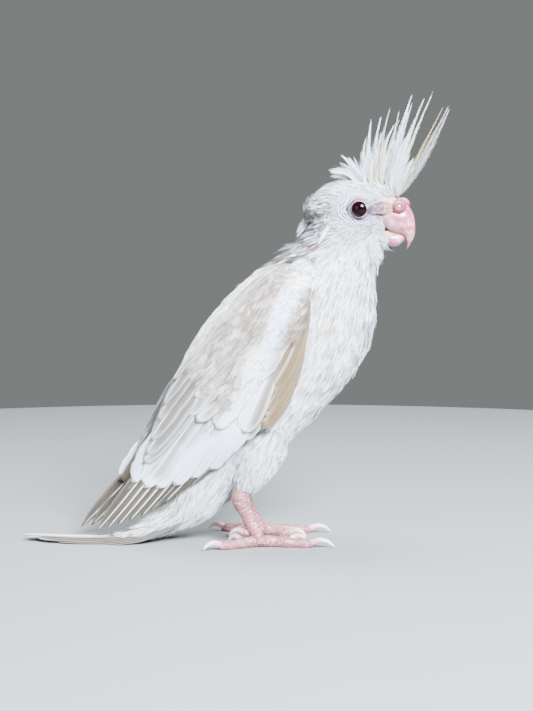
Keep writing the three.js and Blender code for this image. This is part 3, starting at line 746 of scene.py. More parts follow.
@dataclass(frozen=True)
class HornFinish:
    """Horn grown in thin layers and worn smooth by use."""

    name: str
    rough: float
    line_mm: float

    def build(self) -> Material:
        """Make the material.

        Returns:
            The material.
        """
        nodes = Nodes(self.name)
        add = nodes.add
        tint = add("Attribute", out="Color", attribute_name="Tint")
        place = add("TexCoord", out="Object")
        # Long growth lines and milky clouds under the surface: the eye sees layers in something half clear.
        long = add("Mapping", {"Vector": place, "Scale": (1.0, 1.0, 0.35)})
        grain = {"Vector": long, "Scale": 1000 / self.line_mm, "Detail": 4.0, "Roughness": 0.65}
        lines = add("TexNoise", grain)
        cloud = add("TexNoise", {"Vector": place, "Scale": 330.0, "Detail": 3.0})
        dim = add("VectorMath", {0: tint, 3: 0.78}, operation="SCALE")
        cloudy = add("Math", (cloud, 0.42), operation="SUBTRACT", use_clamp=True)
        milk = add("Math", (cloudy, 2.6), operation="MULTIPLY", use_clamp=True)
        pale = add("Mix", {0: milk, 6: tint, 7: (*linear("#e5c4cb"), 1)}, out=2, data_type="RGBA")
        ridge = add("Math", (lines, 0.42), operation="SUBTRACT", use_clamp=True)
        mark = add("Math", (ridge, 2.0), operation="MULTIPLY")
        colour = add("Mix", {0: mark, 6: pale, 7: dim}, out=2, data_type="RGBA")
        uneven = add("Math", (lines, 0.3), operation="MULTIPLY")
        rough = add("Math", (uneven, self.rough - 0.12), operation="ADD", use_clamp=True)
        swell = add("Math", (cloud, 1.5), operation="MULTIPLY")
        height = add("Math", (lines, swell), operation="ADD")
        bump = add("Bump", {"Height": height, "Strength": 0.35, "Distance": 0.00015})
        # The thin clear coat is the polish that rubbing gives, seen as small sharp highlights.
        depth = {"Subsurface_Weight": 0.15, "Subsurface_Radius": (0.0012, 0.0006, 0.0006)}
        gloss = {"Subsurface_Scale": 1.0, "Coat_Weight": 0.5, "Coat_Roughness": 0.12}
        return nodes.finish(colour, rough, Normal=bump, **depth, **gloss)


@dataclass(frozen=True)
class EyeFinish:
    """A dark iris and pupil under a tear-wet cornea."""

    name: str

    def build(self) -> Material:
        """Make the material.

        Returns:
            The material.
        """
        nodes = Nodes(self.name)
        tint = nodes.add("Attribute", out="Color", attribute_name="Tint")
        place = nodes.add("TexCoord", out="Object")
        noise = nodes.add("TexNoise", {"Vector": place, "Scale": 1500.0, "Detail": 4.0})
        dim = nodes.add("VectorMath", {0: tint, 3: 0.4}, operation="SCALE")
        colour = nodes.add("Mix", {0: noise, 6: tint, 7: dim}, out=2, data_type="RGBA")
        # Almost no roughness: one small, hard glint shows that the eye is wet and alive.
        return nodes.finish(colour, 0.03, Specular_IOR_Level=0.13)


@dataclass(frozen=True)
class StageFinish:
    """Matt paint rolled on board."""

    name: str
    colour: str

    def build(self) -> Material:
        """Make the material.

        Returns:
            The material.
        """
        nodes = Nodes(self.name)
        place = nodes.add("TexCoord", out="Object")
        noise = nodes.add("TexNoise", {"Vector": place, "Scale": 14.0, "Detail": 3.0})
        # A faint mottle keeps the floor from looking like an empty screen.
        base = linear(self.colour)
        share = nodes.add("Math", (noise, 0.12), operation="MULTIPLY")
        tones = {0: share, 6: (*base, 1), 7: (*(base * 0.85), 1)}
        return nodes.finish(nodes.add("Mix", tones, out=2, data_type="RGBA"), 0.85)


# Feathers


@dataclass(frozen=True)
class Tuft:
    """A small body feather cut into pointed strands of barbs, in shares of its length and half width."""

    points: Array
    faces: Array
    shade: Array

    @staticmethod
    def cut(strands: int, rows: int, ragged: float, slim: float, rng: Rng, dip: float = 0.6) -> "Tuft":
        """Cut one feather.

        Args:
            strands: How many strands side by side.
            rows: How many rows of corners a strand has.
            ragged: How far the strands' tips differ and spread.
            slim: How wide a strand is against the room it has.
            rng: The source of random draws.
            dip: How much painted shade darkens its darkest strand.

        Returns:
            The feather: across, along and up in its corners.
        """
        points, faces, shade, start = [], [], [], 0
        for k in range(strands):
            place = (k + 0.5) / strands * 2 - 1 + rng.uniform(-0.08, 0.08)
            reach = 1 - 0.28 * abs(place) ** 1.8 - ragged * rng.uniform(0, 0.38)
            along = np.linspace(0, 1, rows)
            lean = place * (0.3 + 0.7 * np.minimum(along * 1.7, 1))
            lean = lean + ragged * rng.uniform(-0.3, 0.3) * along**2
            half = slim / strands * np.minimum(1, 0.5 + along * 1.5) * (1 - along**2.6) + 0.01
            up = -0.22 * lean**2 + ragged * rng.uniform(-0.12, 0.22) * along**2 + 0.03 * (k % 2)
            left = pack(lean - half, along * reach, up)
            right = pack(lean + half, along * reach, up + 0.03)
            points.append(np.stack([left, right], 1).reshape(-1, 3))
            faces.append(grid_faces(rows, 2) + start)
            # Painted shade: each strand is darkened at random, and its left edge is painted darker than its
            # right, as if lit from one side.
            tone = 1.14 - dip * rng.random() ** 2.2
            shade.append(np.tile([tone * 0.85, tone * 1.06], rows))
            start += 2 * rows
        return Tuft(np.vstack(points), np.vstack(faces), np.concatenate(shade))


@dataclass
class Roots:
    """Where body feathers grow and how each lies."""

    at: Array
    normal: Array
    lie: Array
    length: Array
    half: Array
    tip_height: Array
    colour: Array
    base: Array
    unwrap: Array

    def part(self, keep: Array) -> "Roots":
        """Take some of the roots."""
        return Roots(*(getattr(self, each.name)[keep] for each in fields(self)))

    def with_more(self, more: "Roots") -> "Roots":
        """Join two sets of roots."""
        pairs = ((getattr(self, each.name), getattr(more, each.name)) for each in fields(self))
        return Roots(*(np.concatenate(pair) for pair in pairs))


def plant(shape: Shape, roots: Roots, tufts: Sequence[Tuft], surface: BVHTree, rng: Rng) -> None:
    """Set a feather on each root, bent to follow the skin under it.

    Args:
        shape: What to add the feathers to.
        roots: Where and how they grow.
        tufts: The cuts to choose among.
        surface: The skin, in millimetres.
        rng: The source of random draws.
    """
    count = len(roots.at)
    reach = roots.at + roots.lie * roots.length[:, None]
    tips = np.empty((count, 3))
    for i in range(count):
        place, normal, _, _ = surface.find_nearest(Vector(reach[i]))
        tips[i] = np.array(place) + np.array(normal) * roots.tip_height[i]
    pick = rng.integers(0, len(tufts), count)
    flip = rng.choice([-1.0, 1.0], count)
    for index, tuft in enumerate(tufts):
        mine = np.flatnonzero(pick == index)
        if not len(mine):
            continue
        u, v, w = tuft.points.T
        root = roots.at[mine] - roots.normal[mine] * 0.25
        middle = roots.at[mine] + roots.lie[mine] * roots.length[mine, None] * 0.5
        middle = middle + roots.normal[mine] * (0.35 + 0.7 * roots.tip_height[mine, None])
        end = tips[mine]
        v2 = v[None, :, None]
        spine = (1 - v2) ** 2 * root[:, None] + 2 * v2 * (1 - v2) * middle[:, None] + v2**2 * end[:, None]
        across = unit(np.cross(roots.lie[mine], roots.normal[mine]))
        half = roots.half[mine, None]
        points = spine + across[:, None] * (u * half * flip[mine, None])[..., None]
        points = points + roots.normal[mine][:, None] * (w * half)[..., None]
        n = len(u)
        faces = (tuft.faces[None] + np.arange(len(mine))[:, None, None] * n).reshape(-1, 3)
        # Painted shade: each feather starts from its darker root colour, shaded by the feathers over it, and
        # turns to its own colour towards the tip.
        past_root_shade = ramp(0.1, 0.8, v)[None, :, None]
        colours = roots.base[mine][:, None] * (1 - past_root_shade) + roots.colour[mine][:, None] * past_root_shade
        colours = np.clip(colours * tuft.shade[None, :, None], 0, 1)
        vane = pack(u * half, v * roots.length[mine, None])
        bake = roots.unwrap[mine][:, None] + pack(u, v * 2 - 1)[None] * 0.0015
        colours, vane, bake = colours.reshape(-1, 3), vane.reshape(-1, 2), bake.reshape(-1, 2)
        shape.add(points.reshape(-1, 3), faces, colours, vane, bake)


@dataclass(frozen=True)
class Vane:
    """A large feather: where it lies, its size, form and colours."""

    spine: Array
    across: Array
    face: Array
    half: float
    outline: Track
    tilt: float
    body: Array
    rim: Array
    shaft: Array
    cup: float = 0.1
    lop: float = 0.0
    turn: float = 1.0


VANE_ROWS = 22
VANE_COLUMNS = 13
VANE_THICK = 0.16
RAGGED = 0.05
CELLS = 16
CELL_SIZE = 0.0545
ROUNDED = Track([[0, 0.3], [0.2, 0.75], [0.5, 1], [0.86, 0.96], [0.96, 0.62], [1, 0.12]])
POINTED = Track([[0, 0.3], [0.2, 0.8], [0.5, 1], [0.75, 0.82], [0.92, 0.45], [1, 0.06]])
NARROW = Track([[0, 0.35], [0.3, 0.8], [0.6, 1], [0.85, 0.7], [1, 0.06]])


def cell_corner(cell: int) -> Array:
    """Find the corner of a numbered cell of the OFBake map."""
    return np.array([(cell % CELLS) / CELLS, (cell // CELLS) / CELLS]) + 0.004


def frame_along(spine: Array, outward: Array) -> tuple[Array, Array]:
    """Find the unit directions across a feather and out of it, which faces roughly outward."""
    forward = unit(np.gradient(spine, axis=0))
    face = unit(outward - forward * (outward * forward).sum(1)[:, None])
    return np.cross(forward, face), face


def shaft_form(
    spine: Array, across: Array, face: Array, size: Array, sink: float = 0, crown: float = 1, keel: float = 1
) -> tuple[Array, Array]:
    """Make a feather's shaft, four-sided and thin.

    Args:
        spine: Its middle line.
        across: The directions across the feather.
        face: The directions out of it.
        size: Half its width at each place.
        sink: How much lower its sides lie than its middle.
        crown: How high its top is for its width.
        keel: How deep its underside is.

    Returns:
        Corners and triangles.
    """
    wide, high = across * size[:, None], face * size[:, None]
    low = face * sink
    ring = np.stack([spine + wide - low, spine + high * crown, spine - wide - low, spine - high * keel], 1)
    return tube(ring, ring[0].mean(0), ring[-1].mean(0))


def add_vane(shape: Shape, vane: Vane, cell: int, rng: Rng) -> None:
    """Add one large feather as a thin closed blade with a shaft.

    Args:
        shape: What to add it to.
        vane: The feather.
        cell: Its own number, which gives its place in the OFBake map.
        rng: The source of random draws.
    """
    rows = len(vane.spine)
    along = np.linspace(0, 1, rows)
    down = along[:, None]
    u = np.linspace(-1, 1, VANE_COLUMNS)
    off = np.abs(u)
    wide = vane.half * vane.outline(along)
    length = np.linalg.norm(np.diff(vane.spine, axis=0), axis=1).sum()
    # Barbs part in a few places, which leaves small notches in each edge.
    notch = np.ones((rows, 2))
    for _ in range(3):
        gap = np.exp(-(((along - rng.uniform(0.35, 0.97)) / 0.035) ** 2))
        notch[:, rng.integers(0, 2)] -= rng.uniform(0.5, 2.5) * RAGGED * gap
    edges = notch * (1 + RAGGED * rng.normal(0, 0.35, (rows, 2)))
    spread = np.where(u < 0, edges[:, :1], edges[:, 1:]) * wide * (u + vane.lop * vane.turn * off)
    lift = -vane.cup * vane.half * off**1.8 - vane.tilt * (u * vane.turn) * ramp(0, 0.4, down)
    ripple = 0.05 * np.sin(down * 21 + u * 3 + rng.uniform(0, 6)) * off
    top = vane.spine[:, None] + vane.across[:, None] * spread[..., None]
    top = top + vane.face[:, None] * (lift + ripple)[..., None]
    under = top - vane.face[:, None] * (VANE_THICK * (1 - 0.6 * off))[None, :, None]
    blur = rng.normal(0, 0.018, (rows, VANE_COLUMNS))
    edge = ramp(0.62, 0.97, off) * ramp(0.1, 0.4, down)
    share = np.clip(np.maximum(edge, ramp(0.86, 1.0, down)) + blur, 0, 1)
    colour = blend(blend(vane.body, vane.rim, share), vane.shaft, 0.7 * ramp(0.12, 0.04, off))
    # Painted shade: each vane darkens towards its root, under the feathers that overlap it, and along its
    # outermost edge and tip, where it meets the next.
    edge_shade = np.maximum(ramp(0.86, 1.0, off) * ramp(0.2, 0.5, down), ramp(0.96, 1.0, down))
    colour = colour * (0.8 + 0.2 * ramp(0, 0.6, down))[..., None] * (1 - 0.34 * edge_shade)[..., None]
    bake = cell_corner(cell) + pack((u + 1) / 2, down) * CELL_SIZE
    points = np.vstack([top.reshape(-1, 3), under.reshape(-1, 3)])
    faces = blade_faces(rows, VANE_COLUMNS)
    kept = (colour.reshape(-1, 3), pack(spread, down * length).reshape(-1, 2), bake.reshape(-1, 2))
    shape.add(points, faces, *(np.vstack([each, each]) for each in kept))
    # The shaft stands a little proud of the vane and thins towards the tip.
    size = (0.11 + 0.035 * vane.half) * (1 - 0.8 * along) + 0.03
    points, faces = shaft_form(vane.spine, vane.across, vane.face, size, 0.02, 0.9, 0.8)
    shape.add(points, faces, vane.shaft * 0.96, bake=cell_corner(cell) + CELL_SIZE / 2)


def add_plume(
    shape: Shape, spine: Array, face: Array, half: float, colour: Array, barbs: int, cell: int, rng: Rng
) -> None:
    """Add one airy plume: a shaft with loose barbs that cling together in wisps.

    Args:
        shape: What to add it to.
        spine: The shaft's places.
        face: Roughly which way it faces.
        half: Half its width in millimetres.
        colour: Its colour.
        barbs: How many barbs stand on each side.
        cell: Its number in the OFBake map.
        rng: The source of random draws.
    """
    along = np.linspace(0, 1, len(spine))
    across, out = frame_along(spine, face)
    ways = (spine, across, unit(np.gradient(spine, axis=0)), out)
    track, crosswise, forward, facing = (Track(np.column_stack([along, way])) for way in ways)
    corner = cell_corner(cell)
    points, faces = shaft_form(spine, across, out, 0.13 * (1 - 0.8 * along) + 0.03)
    shape.add(points, faces, colour * 0.97, bake=corner + 0.027)
    steps = np.linspace(0, 1, 5)
    for side in (-1, 1):
        wisp = np.repeat(rng.uniform(-1, 1, barbs // 4 + 1), 4)[:barbs]
        start = np.linspace(0.06, 0.99, barbs) + rng.normal(0, 0.004, barbs)
        start = np.clip(start, 0, 1)
        width = half * np.interp(start, [0, 0.15, 0.45, 0.7, 1], [0.6, 1.0, 0.85, 0.42, 0.12])
        width = width * rng.uniform(0.75, 1.12, barbs)
        slant = 0.44 - 0.3 * start + 0.15 * wisp * (1 - start) + rng.normal(0, 0.03, barbs)
        length = width / np.sin(slant)
        tangent, cross, up = forward(start), crosswise(start) * side, facing(start)
        way = steps[None, :, None] * length[:, None, None]
        bend = slant[:, None] * (1.15 - 0.35 * steps[None])
        out = tangent[:, None] * np.cos(bend)[..., None] + cross[:, None] * np.sin(bend)[..., None]
        mid = track(start)[:, None] + way * out
        mid = mid + up[:, None] * (0.12 * wisp[:, None] * steps[None] * length[:, None] * 0.5)[..., None]
        thick = (0.075 * (1 - steps**1.5) + 0.012)[None, :, None] * (1 - 0.5 * start)[:, None, None]
        edge = unit(np.cross(tangent, up) * side + tangent * 0.4)[:, None] * thick
        points = np.stack([mid - edge, mid + edge], 2).reshape(-1, 3)
        n = 2 * len(steps)
        faces = (grid_faces(len(steps), 2)[None] + np.arange(barbs)[:, None, None] * n).reshape(-1, 3)
        # Barbs of the lower wisps are painted darker, as shade between the wisps.
        tone = np.repeat(1.03 - 0.62 * ramp(0.1, -0.9, wisp) * rng.uniform(0.5, 1, barbs), n)[:, None]
        inner = pack(0.027 + side * 0.027 * steps[None], start[:, None] * CELL_SIZE)
        bake = corner + np.repeat(inner.reshape(-1, 2), 2, axis=0)
        shape.add(points, faces, np.clip(colour * tone, 0, 1), bake=bake)


# The skin


def fuse(parts: Sequence[tuple[Array, Array]], voxel: float, soften: int) -> tuple[Array, Array]:
    """Join closed forms to one smooth skin.

    Args:
        parts: Corners in millimetres and triangles of each form.
        voxel: How fine the new skin is.
        soften: How often it is smoothed.

    Returns:
        The skin's corners and triangles.
    """
    rough = Shape()
    for points, faces in parts:
        rough.add(points, faces, np.ones(3))
    mesh = bpy.data.meshes.new("rough")
    mesh.from_pydata(np.vstack(rough.points).tolist(), [], np.vstack(rough.faces).tolist())
    holder = bpy.data.objects.new("rough", mesh)
    bpy.context.scene.collection.objects.link(holder)
    remesh = holder.modifiers.new("join", "REMESH")
    remesh.mode = "VOXEL"
    remesh.voxel_size = voxel
    smooth = holder.modifiers.new("soften", "SMOOTH")
    smooth.iterations = soften
    smooth.factor = 0.5
    view = holder.evaluated_get(bpy.context.evaluated_depsgraph_get())
    made = view.to_mesh()
    made.calc_loop_triangles()
    points = np.empty(3 * len(made.vertices))
    made.vertices.foreach_get("co", points)
    faces = np.empty(3 * len(made.loop_triangles), int)
    made.loop_triangles.foreach_get("vertices", faces)
    view.to_mesh_clear()
    bpy.data.objects.remove(holder)
    bpy.data.meshes.remove(mesh)
    return points.reshape(-1, 3), faces.reshape(-1, 3)


THIGH_PATH = [[12, 7, 52], [13, 11, 42], [9, 12.2, 31], [4.2, 11.6, 22.6]]
THIGH_GIRTH = Track([[0, 6, 7], [0.4, 8.2, 10], [0.72, 6.6, 8], [1, 4.1, 4.3]])
THIGH_DEPTH = 1.2
TAIL_STUMP = [[-14, 0, 13], [-24, 0, 8.4], [-32, 0, 4.8], [-40, 0, 2.6], [-48, 0, 1.9]]
STUMP_GIRTH = Track([[0, 6, 5], [0.5, 5.2, 3.2], [1, 3.4, 0.9]])


def sided(points: Rows, side: Side) -> Rows:
    """Put points whose Y counts outwards on one side of the bird."""
    return [[x, side.value * y, z] for x, y, z in points]


def skin_form(voxel: float) -> tuple[Array, Array]:
    """Join the body's forms to one skin, from the bill to the tail and down to the heels.

    Args:
        voxel: How fine it is.

    Returns:
        Corners in millimetres and triangles.
    """
    parts = [trunk_rings(60, 48, -BODY_DEPTH)]
    for egg in HEAD_FORMS:
        points, faces = egg.surface(48, 30, -HEAD_DEPTH)
        parts.append((head_out(points), faces))
    for side in Side:
        parts.append(limb(sided(THIGH_PATH, side), lambda v: THIGH_GIRTH(v) - THIGH_DEPTH, 20, 24)[:2])
    parts.append(limb(TAIL_STUMP, STUMP_GIRTH, 12, 16)[:2])
    return fuse(parts, voxel, 6)


def thigh_share(points: Array) -> Array:
    """Tell how far points belong to a thigh.

    Args:
        points: Points of the model.

    Returns:
        0 on the trunk, 1 on a thigh.
    """
    reach = [4.2, 7.5, 9.5, 7]
    track = Track(np.column_stack([np.array(THIGH_PATH)[::-1, 2], np.array(THIGH_PATH)[::-1, :2], reach]))
    x, y, reach = track(points[:, 2]).T
    off = np.hypot(points[:, 0] - x, np.abs(points[:, 1]) - y)
    return ramp(reach + 2, reach + 0.5, off) * ramp(46, 38, points[:, 2])


def unwrap(points: Array) -> Array:
    """Lay the skin out flat by its own shape: round the body and along it.

    Args:
        points: Points of the skin.

    Returns:
        A place from 0 to 1 both ways for each point.
    """
    station, _ = trunk_axis(points)
    row = TRUNK(station)
    lean = np.radians(row[:, 2])
    out = points - pack(row[:, 0], 0, row[:, 1])
    back = out[:, 0] * np.cos(lean) + out[:, 2] * np.sin(lean)
    angle = np.arctan2(points[:, 1], back) / (2 * math.pi) + 0.5
    head = 0.72 + 0.26 * np.clip((points[:, 2] - 118) / 32, 0, 1)
    rise = np.where(station >= 12.9, head, station / THROAT * 0.72)
    return pack(0.01 + 0.97 * angle, 0.01 + 0.97 * rise)


def wing_cover(points: Array) -> Array:
    """Tell which points the folded wings hide.

    Args:
        points: Points of the model.

    Returns:
        True where a wing lies over the point.
    """
    hidden = np.zeros(len(points), bool)
    for side in Side:
        s, across = wing_place(points)
        s, across = s - FOLD[side][1], across - FOLD[side][2]
        _, back, middle = WING_BEND(s).T
        reach = back - middle
        turns = (np.clip((edge - middle) / reach, -WING_WRAP, WING_WRAP) for edge in WING_EDGES(s).T)
        under, over = (middle + reach * np.sin(turn) for turn in turns)
        inside = (across > under + 5) & (across < over - 4.5) & (s > 3) & (s < 100)
        hidden |= inside & (points[:, 1] * side.value > 5)
    return hidden


BODY_LENGTH = Track([[0, 9], [1, 11], [2, 12], [3.5, 11], [5, 10], [8, 9], [10, 8], [12, 6.6], [13, 5.8]])
BILL_ROOT = np.array([66, 0, 131.0])
LID_FOLDS = 4


def lid_reach(angle: Array) -> Array:
    """Give how far the creased lids reach from the eye: an almond drawn out to the back.

    Args:
        angle: The way from the eye's middle, 0 forwards and rising.

    Returns:
        The reach in millimetres.
    """
    behind = np.exp(-((np.abs(np.angle(np.exp(1j * (angle - math.pi)))) / 0.5) ** 1.3))
    above, below = np.maximum(np.sin(angle), 0), np.maximum(-np.sin(angle), 0)
    return 4.5 + 1.1 * above + 1.7 * below + 1.2 * ramp(0.2, -0.6, np.cos(angle)) + 3.6 * behind


def lid_share(x: Array, z: Array) -> Array:
    """Measure places of the straight-ahead head against the lids: 1 on their outline, less inside."""
    dx, dz = x - EYE_AT[0], z - EYE_AT[2]
    return np.hypot(dx, dz) / lid_reach(np.arctan2(dz, dx))


def coat_length(points: Array) -> Array:
    """Give the length of the feathers by place.

    Args:
        points: Points of the skin.

    Returns:
        Lengths in millimetres, 0 where none grow.
    """
    hx, hy, hz = head_in(points).T
    side = np.abs(hy)
    station, _ = trunk_axis(points)
    body = BODY_LENGTH(station)[:, 0]
    body = body * (1 - thigh_share(points)) + (3.8 + 4.6 * ramp(22, 38, points[:, 2])) * thigh_share(points)
    face = 2.3 + 5.6 * ramp(5, 22, np.hypot(hx - BILL_ROOT[0], hz - BILL_ROOT[2]))
    face = face + 3.2 * ramp(130, 119, hz) * ramp(63, 56, hx)
    length = blend(body[:, None], face[:, None], head_share(points))[:, 0]
    reach = np.hypot(hx - EYE_AT[0], hz - EYE_AT[2])
    length = length * (1 - 0.25 * ramp(10, 6, reach) * ramp(4, 8, side))
    lids = lid_share(hx, hz)
    length = np.where(side > 5, np.minimum(length, 1.1 + 3.4 * np.maximum(lids - 0.86, 0)), length)
    length = length + 1.6 * nape_share(points)
    bare = (lids < 0.86) & (side > 5)
    bare |= lore_share(hx, hy, hz) + 0.35 * drift(points, 0.9, 19) > 0.62
    bare |= (hx > 59.5) & (side < 5.2) & (hz < 137.2) & (hz > 121)
    bare |= (hx > 61.5) & (hz <= 121) & (hz > 117)
    bare |= (points[:, 2] < 24) & (np.abs(points[:, 1]) > 7) & (points[:, 0] > -2)
    bare |= wing_cover(points)
    return np.where(bare, 0, length)


def nape_share(points: Array) -> Array:
    """Tell, from 0 to 1, how far points belong to the ruffled nape and upper mantle."""
    x, _, z = points.T
    return ramp(38, 30, x - 0.35 * (z - 118)) * ramp(94, 102, z) * ramp(140, 132, z)


SCATTER_CELL = 2.0
NEIGHBOURS = tuple(itertools.product((-1, 0, 1), repeat=3))
FULL_TRIES = 220000
LORE_TRIES = 1500
BEARD_TRIES = 900


@dataclass
class Coat:
    """The small feathers of head and body."""

    points: Array
    faces: Array
    seed: int = 11

    def __post_init__(self) -> None:
        """Ready the skin to be searched, alone and with the bill on it."""
        joint = Shape().add(self.points, self.faces, WHITE)
        self.surface = joint.tree()
        for track, last, lower in ((UPPER_BILL, 5.6, False), (LOWER_BILL, 3.8, True)):
            points, faces, _, _ = bill_form(track, last, lower, 40, 28)
            joint.add(head_out(points), faces, WHITE)
        self.face = joint.tree()
        self.rng = np.random.default_rng(self.seed)

    def scatter(self, spacing: Callable[[Array], Array], tries: int) -> tuple[Array, Array]:
        """Spread roots over the skin, no closer than the spacing.

        Args:
            spacing: Gives the least gap for points, or 0 where nothing grows.
            tries: How many places to try.

        Returns:
            The roots and the skin's normals there.
        """
        a, b, c = (self.points[self.faces[:, k]] for k in range(3))
        area = np.linalg.norm(np.cross(b - a, c - a), axis=1)
        pick = self.rng.choice(len(area), tries, p=area / area.sum())
        r1, r2 = np.sqrt(self.rng.random(tries)), self.rng.random(tries)
        at = a[pick] * (1 - r1)[:, None] + b[pick] * (r1 * (1 - r2))[:, None] + c[pick] * (r1 * r2)[:, None]
        gap = spacing(at)
        keep = gap > 0
        at, gap = at[keep], gap[keep]
        cells: dict[tuple[int, ...], list[int]] = {}
        chosen: list[int] = []
        place, limit = at.tolist(), gap.tolist()
        for i, (x, y, z) in enumerate(np.floor(at / SCATTER_CELL).astype(int).tolist()):
            near = (j for dx, dy, dz in NEIGHBOURS for j in cells.get((x + dx, y + dy, z + dz), ()))
            if all(math.dist(place[i], place[j]) >= limit[i] for j in near):
                cells.setdefault((x, y, z), []).append(i)
                chosen.append(i)
        at = at[chosen]
        return at, np.array([self.surface.find_nearest(Vector(p))[1] for p in at])

    @staticmethod
    def feather_gap(points: Array) -> Array:
        """Give the least gap between feathers for places on the skin, 0 where none grow."""
        length = coat_length(points)
        gap = np.minimum(0.15 * length + 0.36, 1.95) * (1 - 0.36 * head_share(points))
        return np.where(length > 0, gap, 0)

    @staticmethod
    def strand_gap(points: Array) -> Array:
        """Give the least gap between loose barbs for places on the skin, 0 where none grow."""
        return np.where(coat_length(points) > 2.2, 2.5 - 1.5 * head_share(points), 0)

    def settle(
        self, at: Array, normal: Array, lie: Array, length: Array, half: Array, height: Array, base: Array
    ) -> Roots:
        """Put the facts of the feathers together.

        Args:
            at: The roots' places.
            normal: The skin's normals there.
            lie: Roughly which way the feathers lie.
            length: Their lengths.
            half: Half their widths.
            height: How high their tips stand.
            base: The colours at their roots, darkened as painted shade.

        Returns:
            The roots.
        """
        lie = unit(lie - normal * (lie * normal).sum(1)[:, None])
        colour = markings(at, self.rng.random(len(at)))
        return Roots(at, normal, lie, length, half, height, colour, base, unwrap(at))

    def roots(self) -> Roots:
        """Find where the feathers of head and body grow and how they lie.

        Returns:
            The roots.
        """
        at, normal = self.scatter(self.feather_gap, FULL_TRIES)
        count, head, nape, thigh = len(at), head_share(at), nape_share(at), thigh_share(at)
        hx, hy, hz = head_in(at).T
        outward = unit(pack(hx - EYE_AT[0], 0, 0.8 * (hz - EYE_AT[2]))) @ HEAD_TURN.T
        beside = ramp(1.7, 1.0, lid_share(hx, hz)) * ramp(4, 7, np.abs(hy))
        beside = beside * ramp(EYE_AT[0] + 6, EYE_AT[0] - 2, hx + 3)
        lie = blend(unit(self.flow(at)), outward, 0.45 * beside)
        wild = (0.09 + 0.22 * nape - 0.03 * head) * (1 - 0.5 * thigh)
        lie = unit(lie) + self.rng.normal(0, 1, (count, 3)) * wild[:, None]
        length = coat_length(at) * self.rng.uniform(0.85, 1.2, count)
        ruffled = self.rng.random(count) < (0.06 + 0.25 * nape) * (1 - thigh)
        height = 0.4 + 0.6 * (1 - 0.6 * head) * self.rng.random(count)
        raised = self.rng.uniform(0.3, 1.0, count) * (1 - 0.6 * head) + 1.6 * nape
        height = height + np.where(ruffled, raised, 0) + 1.2 * nape
        half = length * (0.22 - 0.09 * head) * self.rng.uniform(0.85, 1.15, count)
        # Painted shade at the feathers' roots, deepest at the nape and in random patches.
        thin = 0.55 * ramp(0.0, 0.7, drift(at, 2.4, 23)) * ramp(-0.2, 0.3, self.rng.random(count) - 0.3)
        root_shade_depth = np.maximum(nape, thin * (1 - 0.6 * head))
        shade = blend(np.array([0.36, 0.34, 0.32]), np.array([0.07, 0.055, 0.03]), root_shade_depth)
        base = markings(at, np.full(count, 0.5)) * shade
        found = self.settle(at, normal, lie, length, half, height, base)
        found.colour = blend(found.colour, OLIVE, 0.85 * nape * (self.rng.random(count) < 0.62))
        return found

    def onto(self, places: Array, side: Side, surface: BVHTree | None = None) -> tuple[Array, Array, Array]:
        """Find the skin at a side of the head.

        Args:
            places: X and Z on the straight-ahead head.
            side: Which side.
            surface: What to look on, if not the skin.

        Returns:
            The places on the skin, its normals, and whether there is skin at each.
        """
        at, normal = np.zeros((len(places), 3)), np.zeros((len(places), 3))
        met = np.zeros(len(places), bool)
        way = HEAD_TURN @ np.array([0, -side.value, 0])
        for i, (x, z) in enumerate(places):
            start = head_out(np.array([x, 40.0 * side.value, z]))
            hit, slope, _, _ = (surface or self.surface).ray_cast(Vector(start), Vector(way))
            if hit is not None:
                at[i], normal[i], met[i] = hit, slope, head_in(np.array(hit))[1] * side.value > 2.5
        return at, normal, met

    def eye_rows(self, side: Side, lids: BVHTree) -> Roots:
        """Set the tiny feathers on the folds of the lids, and the sparse ones on the bare skin before them.

        Args:
            side: Which eye.
            lids: The surface of its lids.

        Returns:
            The roots.
        """
        rows = np.repeat(np.arange(1, LID_FOLDS), [34, 60, 100])
        count = len(rows)
        angle = self.rng.uniform(0, 2 * math.pi, count)
        share = (rows + 0.42) / LID_FOLDS + self.rng.normal(0, 0.03, count)
        reach = 3.5 + (lid_reach(angle) - 3.5) * share
        x, z = EYE_AT[0] + reach * np.cos(angle), EYE_AT[2] + reach * np.sin(angle)
        keep = lore_share(x, 9.0, z) < 0.25
        at, normal, hit = self.onto(pack(x, z)[keep], side, lids)
        at, normal, angle, rows = at[hit], normal[hit], angle[keep][hit], rows[keep][hit]
        n, cos, sin = len(at), np.cos(angle), np.sin(angle)
        swirl = pack(-np.abs(sin) - 0.2, 0, cos * np.sign(sin) * 0.7)
        lie = (swirl + 0.3 * pack(cos, 0, sin)) @ HEAD_TURN.T + self.rng.normal(0, 0.06, (n, 3))
        # The lid feathers' dark roots are painted shade, which draws lines between their rows.
        base = linear("#4c4147") * self.rng.uniform(0.7, 1.3, (n, 1))
        length = self.rng.uniform(0.7, 1.2, n) + 0.2 * rows
        found = self.settle(at, normal, lie, length, 0.17 + 0.02 * rows, np.full(n, 0.12), base)
        x, z = self.rng.uniform(56, 67.5, LORE_TRIES), self.rng.uniform(129, 138.5, LORE_TRIES)
        near = lore_share(x, 9.0, z)
        keep = (self.rng.random(LORE_TRIES) < 0.8 - 0.75 * near) & (near > 0.0)
        at, normal, hit = self.onto(pack(x, z)[keep], side, lids)
        at, normal, near, x = at[hit], normal[hit], near[keep][hit], x[keep][hit]
        n = len(at)
        lie = np.array([-1.0, 0, 0.15]) @ HEAD_TURN.T + self.rng.normal(0, 0.25, (n, 3))
        base = linear("#6a4c40") * self.rng.uniform(0.6, 1.3, (n, 1))
        length = self.rng.uniform(0.8, 1.6, n) + 0.8 * ramp(0.5, 0.1, near)
        more = self.settle(at, normal, lie, length, np.full(n, 0.2), self.rng.uniform(0.1, 0.5, n), base)
        more.colour = blend(WHITE, YELLOW, self.rng.random(n) * ramp(59, 62, x))
        return found.with_more(more)

